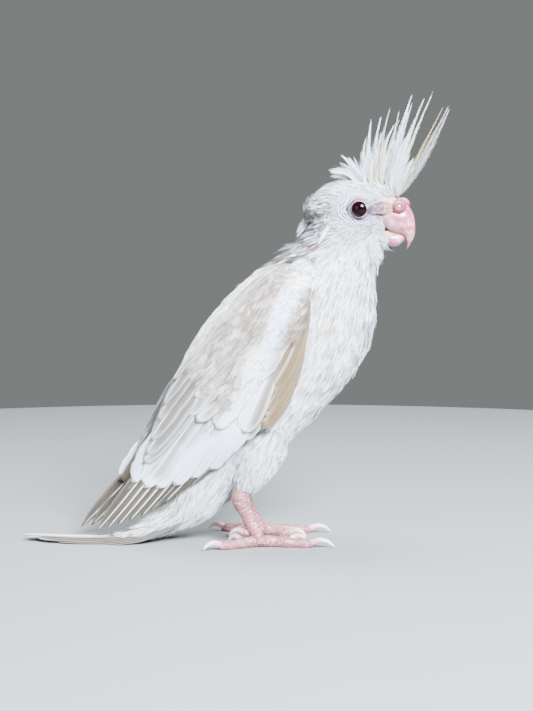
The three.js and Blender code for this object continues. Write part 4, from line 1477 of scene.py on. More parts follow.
    def beard(self) -> Roots:
        """Set the puffed feathers of cheek and chin that lie over the root of the bill.

        Returns:
            The roots.
        """
        found = None
        for side in Side:
            x, z = self.rng.uniform(54, 64, BEARD_TRIES), self.rng.uniform(115, 131, BEARD_TRIES)
            edge = 61.4 + 0.2 * (127 - z) * (z < 127) - 0.2 * np.maximum(z - 127, 0)
            low = ramp(123, 119, z)
            keep = (x < edge - 1.2 * low) & (x > 56 + 0.35 * np.abs(z - 123) * (z > 123))
            at, normal, hit = self.onto(pack(x, z)[keep], side, self.face)
            at, normal, z, low = at[hit], normal[hit], z[keep][hit], low[keep][hit]
            n = len(z)
            fan = self.rng.normal(0, 0.18, n)
            steep = ramp(117, 130, z)
            ahead = 0.75 - 0.25 * steep - 0.3 * low + fan
            lie = pack(ahead, -0.25 * side.value, -0.8 - 0.5 * steep + fan) @ HEAD_TURN.T
            length = self.rng.uniform(1.8, 3.0, n) + self.rng.uniform(0.8, 3.0, n) * low
            half = np.full(n, 0.42) + 0.2 * low
            height = self.rng.uniform(0.35, 0.9, n) + self.rng.uniform(0.3, 1.8, n) * low
            # The roots are painted in shade.
            base = markings(at, np.full(n, 0.5)) * np.array([0.4, 0.36, 0.34])
            roots = self.settle(at, normal, lie, length, half, height, base)
            found = roots if found is None else found.with_more(roots)
        return found

    def flow(self, at: Array) -> Array:
        """Find which way the coat lies.

        Args:
            at: Places on the skin.

        Returns:
            Unit directions.
        """
        _, tailward = trunk_axis(at)
        away = unit(head_in(at) - BILL_ROOT) @ HEAD_TURN.T
        lie = blend(tailward, away, head_share(at))
        return unit(blend(lie, np.array([-0.35, 0, -1.0]), 0.85 * thigh_share(at)))

    def strands(self) -> Roots:
        """Set single loose barbs over the coat: dark ones are painted shadow lines between the feathers, pale
        ones fine white lines.

        Returns:
            The roots.
        """
        at, normal = self.scatter(self.strand_gap, 90000)
        count = len(at)
        head = head_share(at)
        lie = self.flow(at) + self.rng.normal(0, 0.07, (count, 3))
        length = coat_length(at) * self.rng.uniform(0.6, 1.05, count) + 0.5
        height = 0.8 + 0.5 * self.rng.random(count) + 0.5 * (1 - head) + 1.6 * nape_share(at)
        hx, _, hz = head_in(at).T
        lined = ramp(14, 6, np.hypot(hx - 46, 0.8 * (hz - 124))) + ramp(6, 3, np.abs(hz - 119)) * head
        lined = np.maximum(np.clip(lined, 0, 1) * head, nape_share(at))
        # Dark strands are painted shadow lines, most on the head and nape; all strands have roots painted in
        # shade.
        dark = (self.rng.random(count) < 0.1 + 0.4 * head + 0.35 * lined)[:, None]
        base = np.where(dark, blend(linear("#8d8378"), linear("#33291f"), head), WHITE * 0.7)
        base = base * self.rng.uniform(0.8, 1.2, (count, 1))
        half = 0.19 - 0.05 * head + 0.16 * nape_share(at)
        found = self.settle(at, normal, lie, length, half, height, base)
        tip = np.where(dark, blend(linear("#a49c92"), linear("#5c5046"), head), WHITE)
        found.colour = tip * self.rng.uniform(0.85, 1.05, (count, 1))
        return found

    def quills(self) -> Roots:
        """Set the stray, half-open feathers of the nape and mantle.

        Returns:
            The roots.
        """
        at, normal = self.scatter(lambda p: np.where(nape_share(p) > 0.35, 2.1, 0), 24000)
        count = len(at)
        lie = trunk_axis(at)[1] + self.rng.normal(0, 0.38, (count, 3)) + normal * 0.4
        length, height = self.rng.uniform(4.5, 9.5, count), self.rng.uniform(1.4, 4.2, count)
        base = linear("#3d3422") * self.rng.uniform(0.6, 1.3, (count, 1))
        return self.settle(at, normal, lie, length, np.full(count, 0.55), height, base)


@dataclass
class Plumage:
    """The skin with its coat, in pieces that each keep to a part of the bird."""

    finish: FeatherFinish
    down: SkinFinish
    seed: int = 5

    def build(self) -> Coat:
        """Make the skin and the coat.

        Returns:
            The coat's surfaces, for what else lies on them.
        """
        points, faces = skin_form(0.9)
        rng = np.random.default_rng(self.seed)
        bare = lore_share(*head_in(points).T)[:, None] * head_share(points)[:, None]
        # The skin under the coat is painted at half brightness, as shade under the feathers; the bare lore is
        # not darkened.
        tint = markings(points, np.full(len(points), 0.5)) * (0.5 + 0.5 * bare)
        skin = Shape().add(points, faces, tint, bake=unwrap(points))
        piece = skin.make("skin", self.down.build(), "body_feathers", True)
        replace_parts(piece, "torso", "neck", "head", "thigh_left", "thigh_right")
        coat = Coat(points, faces)
        roots = coat.roots()
        log.info("%d feathers on head and body", len(roots.at))
        soft = [Tuft.cut(12, 6, ragged, 0.9, rng, 0.75) for ragged in (0.35, 0.5, 0.65, 0.8, 1.0)]
        fine = [Tuft.cut(6, 5, ragged, 0.8, rng, 0.95) for ragged in (0.3, 0.45, 0.6)]
        quill = [Tuft.cut(3, 7, ragged, 0.8, rng) for ragged in (0.8, 1.4, 2.0)]
        material = self.finish.build()
        head = head_share(roots.at) > 0.5
        legs = thigh_share(roots.at) > 0.5
        front = roots.at[:, 0] > TRUNK(trunk_axis(roots.at)[0])[:, 0]
        low = roots.at[:, 2] < 84
        groups = [
            ("coat_head", roots.part(head), fine, coat.surface),
            ("coat_breast", roots.part(~head & ~legs & front & ~low), soft, coat.surface),
            ("coat_belly", roots.part(~head & ~legs & front & low), soft, coat.surface),
            ("coat_back", roots.part(~head & ~legs & ~front), soft, coat.surface),
            ("coat_thighs", roots.part(~head & legs), soft, coat.surface),
            ("coat_beard", coat.beard(), fine, coat.face),
            ("coat_quills", coat.quills(), quill, coat.surface),
            ("coat_strands", coat.strands(), [Tuft.cut(1, 6, 0.1, 0.9, rng, 0.0)], coat.surface),
        ]
        for name, chosen, tufts, surface in groups:
            shape = Shape()
            plant(shape, chosen, tufts, surface, rng)
            shape.make(name, material, "body_feathers", True)
        NapeWisps(material, coat.surface).build()
        return coat


# The wings


@dataclass(frozen=True)
class Stroke:
    """A coloured streak of the wing's pattern, between two places along and across it."""

    start: tuple[float, float]
    end: tuple[float, float]
    width: float
    colour: Array
    strength: float

    def lay(self, s: Array, t: Array, under: Array) -> Array:
        """Colour places under the streak.

        Args:
            s: How far along the wing the places are.
            t: How far across.
            under: Their colours so far.

        Returns:
            Their new colours.
        """
        a, b = np.array(self.start), np.array(self.end)
        line = b - a
        off = pack(s - a[0], t - a[1])
        along = np.clip((off @ line) / max(line @ line, 1e-6), 0, 1)
        gap = np.linalg.norm(off - along[..., None] * line, axis=-1)
        return blend(under, self.colour, self.strength * ramp(self.width, 0.45 * self.width, gap))


STROKES = (
    Stroke((6, 13), (40, 8), 11, TAN, 0.68),
    Stroke((12, 11), (26, 4), 8, TAN, 0.62),
    Stroke((36, 14), (62, 12), 8, ASH, 0.6),
    Stroke((26, 4), (44, 1), 6, ASH, 0.5),
    Stroke((0, 1), (9, -4), 3.6, WHITE, 1.0),
    Stroke((9, 1.6), (36, -12), 4.4, COOL, 1.0),
    Stroke((36, -11), (64, -17), 6.0, COOL, 1.0),
    Stroke((44, -2), (66, -7.5), 4.6, ASH, 0.7),
    Stroke((46, 2), (74, -3), 5.5, ASH, 0.62),
    Stroke((52, 6.5), (92, -3.5), 5.4, ASH, 0.72),
    Stroke((66, 11), (90, 5), 4.6, ASH, 0.7),
    Stroke((5, -8), (54, -24), 9.0, linear("#644e36"), 0.92),
    Stroke((58, 10), (72, 10.5), 1.6, OLIVE, 0.6),
)


def wing_tint(s: Array, t: Array, under: Array) -> Array:
    """Lay the wing's pattern over a colour.

    Args:
        s: Distances along the wing.
        t: Distances across it.
        under: The colours it starts from.

    Returns:
        The colours.
    """
    colour = np.broadcast_to(under, (*np.shape(s), 3))
    for stroke in STROKES:
        colour = stroke.lay(s, t, colour)
    return colour


@dataclass(frozen=True)
class Tier:
    """A row of like feathers on a wing: where it runs and what it looks like."""

    name: str
    count: int
    roots: Track
    tips: Track
    half: float
    height: float
    outline: Track
    body: Array
    rim: Array
    shaft: Array
    bow: float = 0.0
    lop: float = 0.0
    stray: float = 0.5
    patterned: bool = True
    edge: float = 0.55

    def vane(self, share: float, side: Side, rng: Rng) -> Vane:
        """Lay one feather of the row.

        Args:
            share: How far along the row it stands, from 0 to 1.
            side: Which wing.
            rng: The source of random draws.

        Returns:
            The feather.
        """
        v = np.linspace(0, 1, VANE_ROWS)
        s0, t0 = self.roots(share)
        s1, t1 = self.tips(share) + rng.normal(0, self.stray, 2)
        s = s0 + (s1 - s0) * v
        t = t0 + (t1 - t0) * v + self.bow * np.sin(math.pi * v)
        height = -0.3 + (self.height + 0.6) * ramp(0, 0.6, v) + rng.normal(0, 0.08) * v
        spine = wing_point(s, t, height, side)
        across, face = frame_along(spine, wing_point(s, t, height + 1, side) - spine)
        uphill = wing_point(s, t + 0.5, height, side) - wing_point(s, t - 0.5, height, side)
        turn = 1.0 if (across * uphill).sum() > 0 else -1.0
        body = self.body * (1 + rng.normal(0, 0.05))
        if self.patterned:
            u = np.linspace(-1, 1, VANE_COLUMNS) * turn
            aside = self.half * self.outline(v) * (u + self.lop * np.abs(u))
            body = wing_tint(np.repeat(s[:, None], VANE_COLUMNS, 1), t[:, None] + aside, body)
        half = self.half * rng.uniform(0.93, 1.07)
        colours = (np.clip(body, 0, 1), np.clip(blend(body, self.rim, self.edge), 0, 1), self.shaft)
        return Vane(spine, across, face, half, self.outline, 0.35, *colours, lop=self.lop, turn=turn)


TIERS = [
    Tier(
        "primary", 9, Track([[0, 50, -18], [1, 84, 2]]),
        Track([[0, 90, -17.2], [0.4, 108, -11.2], [0.75, 121.5, -4.6], [1, 128.4, 0.2]]),
        3.1, 0.1, POINTED, FLIGHT, FLIGHT_EDGE, SHAFT, -1.0, 0.4, stray=0.3, patterned=False, edge=0.8,
    ),
    Tier(
        "secondary", 8, Track([[0, 34, -15], [0.5, 50, -8], [1, 56, 5]]),
        Track([[0, 62, -19.5], [0.3, 80, -16.4], [0.6, 95, -10.6], [0.85, 102, -3.4], [1, 104, 2.2]]),
        5.2, 0.5, ROUNDED, COOL, WHITE, SHAFT, 0.0, 0.25,
    ),
    Tier(
        "tertial", 5, Track([[0, 38, 2], [1, 22, 18]]),
        Track([[0, 96, 3.5], [0.5, 86, 10], [1, 72, 18]]),
        5.0, 0.95, ROUNDED, linear("#7f7361"), COOL, SHAFT, 1.2, 0.0,
    ),
    Tier(
        "primary_covert", 7, Track([[0, 14, -11], [1, 4, -5]]),
        Track([[0, 54, -23.4], [0.5, 50, -20.6], [1, 40, -15.4]]),
        3.8, 0.7, ROUNDED, linear("#644e36"), CREAM, linear("#b3a594"), -2.0, 0.0, stray=0.3, edge=0.2,
    ),
    Tier(
        "greater_covert", 9, Track([[0, 24, -8], [0.5, 28, -1], [1, 24, 12]]),
        Track([[0, 57, -14.6], [0.3, 66, -8], [0.6, 70, -1], [1, 58, 13]]),
        4.2, 1.05, ROUNDED, WHITE, WHITE, SHAFT, stray=2.0,
    ),
    Tier(
        "median_covert", 9, Track([[0, 12, -5], [0.5, 15, 2], [1, 12, 13]]),
        Track([[0, 40, -9.5], [0.5, 49, -1], [1, 42, 14]]),
        3.6, 1.3, NARROW, WHITE, WHITE, SHAFT, stray=2.0,
    ),
    Tier(
        "scapular", 12, Track([[0, 30, 17], [0.5, 14, 19], [1, -3, 16]]),
        Track([[0, 62, 19], [0.5, 44, 23], [1, 20, 22]]),
        3.6, 1.5, ROUNDED, linear("#9a8b74"), COOL, SHAFT, 0.8, 0.0, stray=1.6,
    ),
]


def wing_places(rows: int, columns: int, first: float, last: float) -> tuple[Array, Array, Array]:
    """Spread a grid of places over a wing's face.

    Args:
        rows: How many rows.
        columns: How many places a row has.
        first: Where along the wing it starts.
        last: Where it ends.

    Returns:
        Distances along, distances round the bend and shares across.
    """
    s = np.linspace(first, last, rows)[:, None] * np.ones((1, columns))
    low, high = np.moveaxis(WING_EDGES(s[:, 0]), -1, 0)
    share = np.linspace(0, 1, columns)
    return s, (low + 1.2)[:, None] + (high - low - 2.4)[:, None] * share, share


COVERT_TRIES = 26000
COVERT_GAP = 1.05


@dataclass
class Wing:
    """One folded wing: its core and its rows of feathers."""

    side: Side
    finish: Material
    soft: Material
    seed: int

    def core(self, shape: Shape, cell: int) -> None:
        """Make what the feathers lie on.

        Args:
            shape: What to add it to.
            cell: Its number in the OFBake map.
        """
        s, t, share = wing_places(60, 30, -4, 103)
        hump = 1 - np.abs(2 * share - 1) ** 3
        depth = np.interp(s, [-4, 103], [7.4, 0.6]) * (0.15 + 0.85 * hump)
        outer = wing_point(s, t, -0.6 - 0.5 * (1 - hump), self.side)
        inner = wing_point(s, t, -0.6 - 0.5 * (1 - hump) - depth, self.side)
        points = np.vstack([outer.reshape(-1, 3), inner.reshape(-1, 3)])
        faces = facing_out(points, blade_faces(*s.shape))
        inside = pack(share * CELL_SIZE, np.linspace(0, CELL_SIZE, len(s))[:, None])
        place = cell_corner(cell) + inside.reshape(-1, 2)
        lining = blend(WHITE * 0.8, FLIGHT_EDGE, ramp(50, 80, s.reshape(-1)))
        shape.add(points, faces, np.vstack([lining, lining]), bake=np.vstack([place, place]))

    def build(self) -> None:
        """Make the wing."""
        rng = np.random.default_rng(self.seed)
        shape = Shape()
        cell = 0
        for tier in TIERS:
            for k in range(tier.count):
                share = k / (tier.count - 1)
                add_vane(shape, tier.vane(share, self.side, rng), cell, rng)
                cell += 1
        self.core(shape, cell)
        name = "wing_" + self.side.name.lower()
        piece = shape.make(name + "_feathers", self.finish, "flight_feathers", True)
        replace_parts(piece, name)
        self.shoulder(rng).make(name + "_small_coverts", self.soft, "body_feathers", True)

    def shoulder(self, rng: Rng) -> Shape:
        """Cover the wrist and the forearm with small soft coverts.

        Args:
            rng: The source of random draws.

        Returns:
            The coverts.
        """
        s, t, _ = wing_places(60, 40, -9, 66)
        grid = wing_point(s, t, 1.0, self.side).reshape(-1, 3)
        surface = BVHTree.FromPolygons(grid.tolist(), grid_faces(*s.shape).tolist())
        count = COVERT_TRIES
        s = rng.uniform(-8, 50, count)
        low, high = WING_EDGES(s).T
        t = low + 0.4 + (high - low - 0.8) * rng.random(count)
        limit = 47 - 0.45 * np.abs(t - 2) + rng.normal(0, 3, count)
        limit = np.where(t < -9, np.minimum(limit, 18 + (t + 9)), limit)
        keep = s < limit
        s, t = s[keep], t[keep]
        # The first feather drawn in each small square stays.
        squares = pack(s // COVERT_GAP, t // COVERT_GAP)
        chosen = np.sort(np.unique(squares, axis=0, return_index=True)[1])
        s, t = s[chosen], t[chosen]
        n = len(s)
        height = np.interp(s, [-8, 10, 45], [0.4, 1.1, 1.4])
        at = wing_point(s, t, height, self.side)
        normal = unit(wing_point(s, t, height + 1, self.side) - at)
        lie = unit(wing_point(s + 1, t, height, self.side) - at) + rng.normal(0, 0.14, (n, 3))
        lie = unit(lie - normal * (lie * normal).sum(1)[:, None])
        length = np.interp(s, [-8, 8, 45], [4.2, 6.4, 9.0]) * rng.uniform(0.8, 1.2, n)
        draw = rng.random(n)
        colour = wing_tint(s + 0.6 * length, t, blend(WHITE, CREAM, 0.5 * draw))
        colour = blend(colour, WHITE, 0.4 * ramp(0.5, 0.9, rng.random(n)))
        place = pack(0.05 + 0.9 * (s + 8) / 60, 0.05 + 0.9 * (t + 24) / 56)
        height = 0.5 + 0.5 * rng.random(n)
        # The coverts' roots are painted in shade.
        base = colour * np.array([0.4, 0.37, 0.33])
        roots = Roots(at, normal, lie, length, length * 0.2, height, colour, base, place)
        tufts = [Tuft.cut(7, 6, ragged, 1.25, rng) for ragged in (0.35, 0.6, 0.9)]
        shape = Shape()
        plant(shape, roots, tufts, surface, rng)
        return shape


# Tail and crest

TAIL_LINE = Track([
    [0, -7.6, 15], [12, -18, 8.9], [22, -27, 4.6], [32, -36.2, 1.1], [40, -44.2, 0], [80, -84.2, 0],
])
TAIL_PAIRS = [(80, 0.9, 1.1), (78, 1.7, 2.7), (73, 2.5, 4.1), (67, 3.3, 5.4), (60, 4.1, 6.5), (53, 4.9, 7.5)]


@dataclass
class Tail:
    """The long tail feathers, laid back along the floor."""

    finish: Material
    seed: int = 31

    def build(self) -> None:
        """Make the tail."""
        rng = np.random.default_rng(self.seed)
        shape = Shape()
        cell = 0
        v = np.linspace(0, 1, VANE_ROWS)
        for pair, (length, root, tip) in reversed(list(enumerate(TAIL_PAIRS))):
            for side in Side:
                line = TAIL_LINE(8 + (length - 8) * v)
                out = side.value * (root + (tip - root) * v)
                rise = 0.35 + 0.4 * (len(TAIL_PAIRS) - 1 - pair) + (0.1 if side is Side.RIGHT else 0)
                spine = pack(line[:, 0], out, line[:, 1] + rise)
                ways = frame_along(spine, np.array([0.2, 0, 1.0]))
                outline = POINTED if pair < 2 else ROUNDED
                body = FLIGHT if pair else linear("#7d715f")
                vane = Vane(spine, *ways, 3.6, outline, 0.05, body, FLIGHT_EDGE, SHAFT, cup=0.05)
                add_vane(shape, vane, cell, rng)
                cell += 1
        piece = shape.make("tail_feathers", self.finish, "tail_feathers", True)
        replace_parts(piece, "tail")


CREST_AT = Track([
    [0, 66.8, 138.8, 88, 172.2, 0.4], [0.22, 65.6, 140.6, 80, 176.2, 0.8],
    [0.44, 63.6, 141.6, 73, 176.4, 1], [0.6, 61.2, 142.2, 66, 172.4, 1.5], [0.76, 58.6, 142.2, 58, 168, 2],
    [0.9, 56.6, 141.6, 53.2, 161, 1.5], [1, 54, 142, 43.2, 151.6, -1.6],
    [1.15, 50.5, 142, 39.8, 145.6, -2.4],
])
LONG_PLUMES = (0, 0.025, 0.05, 0.21, 0.25, 0.41, 0.44, 0.47, 0.57, 0.62, 0.73, 0.79, 0.87)


@dataclass
class Crest:
    """The raised crest: narrow plumes that fan up and back from the brow."""

    finish: Material
    count: int = 128
    seed: int = 47

    def build(self) -> None:
        """Make the crest."""
        rng = np.random.default_rng(self.seed)
        shape = Shape()
        v = np.linspace(0, 1, 18)
        for k in range(self.count):
            long, crown = k < len(LONG_PLUMES), k > 98
            if long:
                share = LONG_PLUMES[k]
            else:
                share = rng.uniform(0.96, 1.15) if crown else rng.uniform(0, 0.95) ** 0.8
            rx, rz, tx, tz, sag = CREST_AT(np.clip(share + rng.normal(0, 0.008), 0, 1.15))
            aside = rng.uniform(-1, 1)
            if long or crown:
                reach = rng.uniform(0.72 if crown else 0.88, 1.0)
            else:
                reach = 0.2 + 0.62 * rng.random() ** 1.5
            if not long:
                reach = min(reach, 0.34 + 0.66 * float(ramp(0.2, 0.45, share)))
            root = np.array([rx - 0.4, 2.4 * aside, rz - 1.8])
            tip = np.array([tx, 5.2 * aside, tz])
            chord = (tip - root) * reach
            bend = np.cross(unit(chord), [0, 1, 0])
            curl = sag + rng.normal(0, 0.5 if crown else 1.0) * reach
            spine = root + chord * v[:, None] + bend * (curl * np.sin(math.pi * v))[:, None]
            spine = spine + np.array([0, 0.5, 0]) * (rng.normal(0, 1) * np.sin(2.2 * v))[:, None]
            face = np.array([0.0, -1.0 if aside < 0 else 1.0, 0.0]) + 0.45 * rng.normal(0, 1, 3)
            colour = blend(COOL, CREAM, 0.7 * ramp(0.5, 1.0, rng.random())) * rng.uniform(0.75, 1.0)
            colour = blend(colour, TAN, 0.5 * float(long and (share < 0.1 or rng.random() < 0.25)))
            colour = blend(colour, YELLOW, 0.5 * float(rng.random() < 0.12))
            half = rng.uniform(1.2, 1.7) if long else rng.uniform(1.1, 1.9)
            add_plume(shape, head_out(spine), face, half, colour, 60 if long else 42, k, rng)
        piece = shape.make("crest_feathers", self.finish, "body_feathers", True)
        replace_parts(piece, "crest")


@dataclass
class NapeWisps:
    """Loose fluffs that stand off the nape and the upper mantle."""

    finish: Material
    surface: BVHTree
    count: int = 70
    seed: int = 61

    def build(self) -> None:
        """Make the fluffs."""
        rng = np.random.default_rng(self.seed)
        shape = Shape()
        v = np.linspace(0, 1, 12)
        for k in range(self.count):
            station = rng.uniform(9.6, 13.6)
            x, z, lean, deep, _ = TRUNK(min(station, THROAT))
            z = z + max(0.0, station - THROAT) * 8
            turn, lean = math.radians(rng.uniform(-65, 65)), math.radians(lean)
            out = pack(math.cos(lean) * math.cos(turn), math.sin(turn), math.sin(lean) * math.cos(turn))
            near, normal, _, _ = self.surface.find_nearest(Vector(np.array([x, 0, z]) + out * (deep + 4)))
            near, normal = np.array(near), np.array(normal)
            tailward = trunk_axis(near[None])[1][0]
            way = unit(tailward + normal * rng.uniform(0.25, 0.75) + rng.normal(0, 0.22, 3))
            length = rng.uniform(5, 9.5)
            droop = (tailward - normal * 0.3) * length * 0.25
            spine = near - normal * 0.3 + way * length * v[:, None] + droop * (v**2)[:, None]
            face = normal + rng.normal(0, 0.5, 3)
            colour = blend(blend(COOL, CREAM, rng.random() ** 2), OLIVE, 0.8 * float(rng.random() < 0.3))
            add_plume(shape, spine, face, rng.uniform(1.1, 1.9), colour, 26, k, rng)
        shape.make("nape_wisps", self.finish, "body_feathers", True)


# Parts of the head


@dataclass
class Eyes:
    """The eyeballs and the bare lid rings round them."""

    wet: EyeFinish
    lid: SkinFinish
    plume: Material
    coat: Coat

    def build(self) -> None:
        """Make both eyes, their lids and the feathers on them."""
        eye_material, lid_material = self.wet.build(), self.lid.build()
        rng = self.coat.rng
        tufts = [Tuft.cut(5, 5, ragged, 0.9, rng, 0.5) for ragged in (0.4, 0.6, 0.8)]
        feathers = Shape()
        for side in Side:
            name = side.name.lower()
            piece = self.ball(side).make("eyeball_" + name, eye_material, "eye")
            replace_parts(piece, "eye_" + name)
            ring = self.ring(side)
            piece = ring.make("lids_" + name, lid_material, "lid_skin")
            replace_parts(piece, "eyelids_" + name)
            lids = ring.tree()
            plant(feathers, self.coat.eye_rows(side, lids), tufts, lids, rng)
        feathers.make("coat_eyelids", self.plume, "body_feathers", True)

    def ball(self, side: Side) -> Shape:
        """Make an eyeball."""
        points, faces = Egg((0, 0, 0), *[EYE_RADIUS] * 5).surface(64, 40)
        off = np.hypot(points[:, 0], points[:, 2])
        iris, rim, pupil = linear("#1b0406"), linear("#120304"), linear("#0f0203")
        colour = blend(blend(pupil, iris, ramp(1.7, 2.0, off)), rim, ramp(2.4, 3.0, off))
        colour = blend(colour, rim, ramp(0.5, 0, points[:, 1] * side.value))
        return Shape().add(head_out(points + EYE_AT * np.array([1, side.value, 1])), faces, colour)

    def ring(self, side: Side) -> Shape:
        """Make the lids: a wet edge round the eye, folds outside it, and the bare skin up to the cere."""
        columns, rows = 240, 84
        angle = around(columns)
        ahead = np.exp(-((np.angle(np.exp(1j * (angle - 0.05))) / 0.34) ** 4))
        almond = lid_reach(angle)
        far = almond + 0.3 + (13.4 - almond) * ahead
        share = np.linspace(0, 1, rows)[:, None] ** 1.15
        reach = 2.8 + (far[None] - 2.8) * share
        fold = np.clip((reach - 3.5) / (almond[None] - 3.5), 0, 1.2)
        x = EYE_AT[0] + 0.15 + reach * np.cos(angle)
        z = EYE_AT[2] + reach * np.sin(angle)
        at, _, met = self.coat.onto(pack(x, z).reshape(-1, 2), side, self.coat.face)
        near = head_in(at)
        near[~met] = pack(x, 3.6 * side.value, z).reshape(-1, 3)[~met]
        skin_out = (near[:, 1] * side.value).reshape(x.shape)
        edge_out = np.interp(reach, [2.8, 2.95, 3.15, 3.4, 3.6], [12.0, 12.6, 12.75, 12.5, 12.0])
        bare = lore_share(x, 9.0, z)
        rough = drift(pack(x, z, 0).reshape(-1, 3), 1.4, 33).reshape(x.shape)
        wave = np.cos(2 * math.pi * LID_FOLDS * (fold + 0.07 * rough) + 0.6 * np.sin(3 * angle + 1))
        folded = ramp(3.5, 3.9, reach) * ramp(1.15, 0.9, fold) * (1 - bare)
        stay = np.maximum(bare, ramp(1.1, 0.98, fold))
        even = np.maximum(skin_out, 8.2 - 0.5 * (x - 60))
        skin_out = skin_out + (even - skin_out) * ramp(0.1, 0.7, bare)
        outer = skin_out - 0.8 + 1.2 * stay - 0.16 * wave * folded + 0.1 * rough * bare
        out = blend(edge_out[..., None], outer[..., None], ramp(3.3, 4.5, reach))[..., 0]
        points = pack(x, out * side.value, z).reshape(-1, 3)
        strength = (0.6 + 0.4 * ramp(0.3, -0.5, np.cos(angle)))[None] * ramp(-1.3, 0.0, rough + 0.3)
        # Painted shade darkens the grooves between the lid's folds.
        groove_shade = ramp(-0.15, 0.6, wave) * folded * strength
        front = np.cos(angle)
        colour = blend(linear("#2a1219"), linear("#8a6577"), ramp(2.95, 3.25, reach))
        colour = blend(colour, linear("#5d5166"), ramp(3.2, 3.6, reach))
        colour = blend(colour, linear("#cdcbd4"), ramp(0.2, 0.5, fold) * (1 - 0.85 * ramp(0.1, 0.9, front)))
        colour = blend(colour, linear("#2c262b"), groove_shade)
        skin = head_colour(points, np.full(len(points), 0.5)).reshape(*x.shape, 3)
        colour = blend(colour, skin, np.maximum(bare, ramp(1.0, 1.15, fold)))
        faces = grid_faces(rows, columns, True)
        faces = faces[:, ::-1] if side is Side.RIGHT else faces
        return Shape().add(head_out(points), faces, colour.reshape(-1, 3))


UPPER_BILL = Track([
    [0, 61.5, 136.5, 57.5, 127, 5.8], [1, 66.5, 136, 61.5, 125.4, 6.2], [2, 70.6, 133.6, 64.8, 123.4, 5.6],
    [3, 72.6, 129.6, 67.8, 123, 4.4], [4, 73.1, 124.8, 69.3, 121.4, 3], [5, 72.2, 120.8, 69.8, 119, 1.5],
    [6, 69.9, 117.1, 69.7, 117, 0.2],
])
LOWER_BILL = Track([
    [0, 58.5, 125.4, 58.5, 118.6, 5], [1, 63, 125, 62.6, 118.2, 4.9], [2, 66.6, 124, 65.8, 118.1, 4],
    [3, 68.8, 122.8, 68, 119.6, 2.4], [4, 69.8, 121.3, 69.6, 121, 0.3],
])


def bill_form(
    track: Track, last: float, lower: bool, rows: int, sides: int
) -> tuple[Array, Array, Array, Array]:
    """Make the form of half a bill on the straight-ahead head.

    Args:
        track: Its sections.
        last: The last section.
        lower: Whether it is the lower half.
        rows: How many sections to make.
        sides: How many corners a section has.

    Returns:
        Corners, triangles, how far along the bill and how near its edge each corner is.
    """
    x1, z1, x0, z0, wide = track(np.linspace(0, last, rows)).T
    angle = around(sides)
    centre = pack((x1 + x0) / 2, 0, (z1 + z0) / 2)
    up = pack((x1 - x0) / 2, 0, (z1 - z0) / 2)
    cos, sin = np.cos(angle), np.sin(angle)
    rise = np.sign(cos) * np.abs(cos) ** (1.0 if lower else 0.9)
    ring = centre[:, None] + up[:, None] * rise[None, :, None]
    if not lower:
        pinch = 0.24 * ramp(2.4, 1.0, np.linspace(0, last, rows))[:, None] * ramp(-0.1, 0.8, cos)[None]
    else:
        pinch = 0
    ring[..., 1] += wide[:, None] * sin * (1 - 0.12 * cos) * (1 - pinch)
    share = np.concatenate([np.repeat(np.linspace(0, 1, rows), sides), [0, 1]])
    low = np.concatenate([np.tile(-cos, rows), [0, 0]])
    return *tube(ring, ring[0].mean(0), ring[-1].mean(0)), share, low


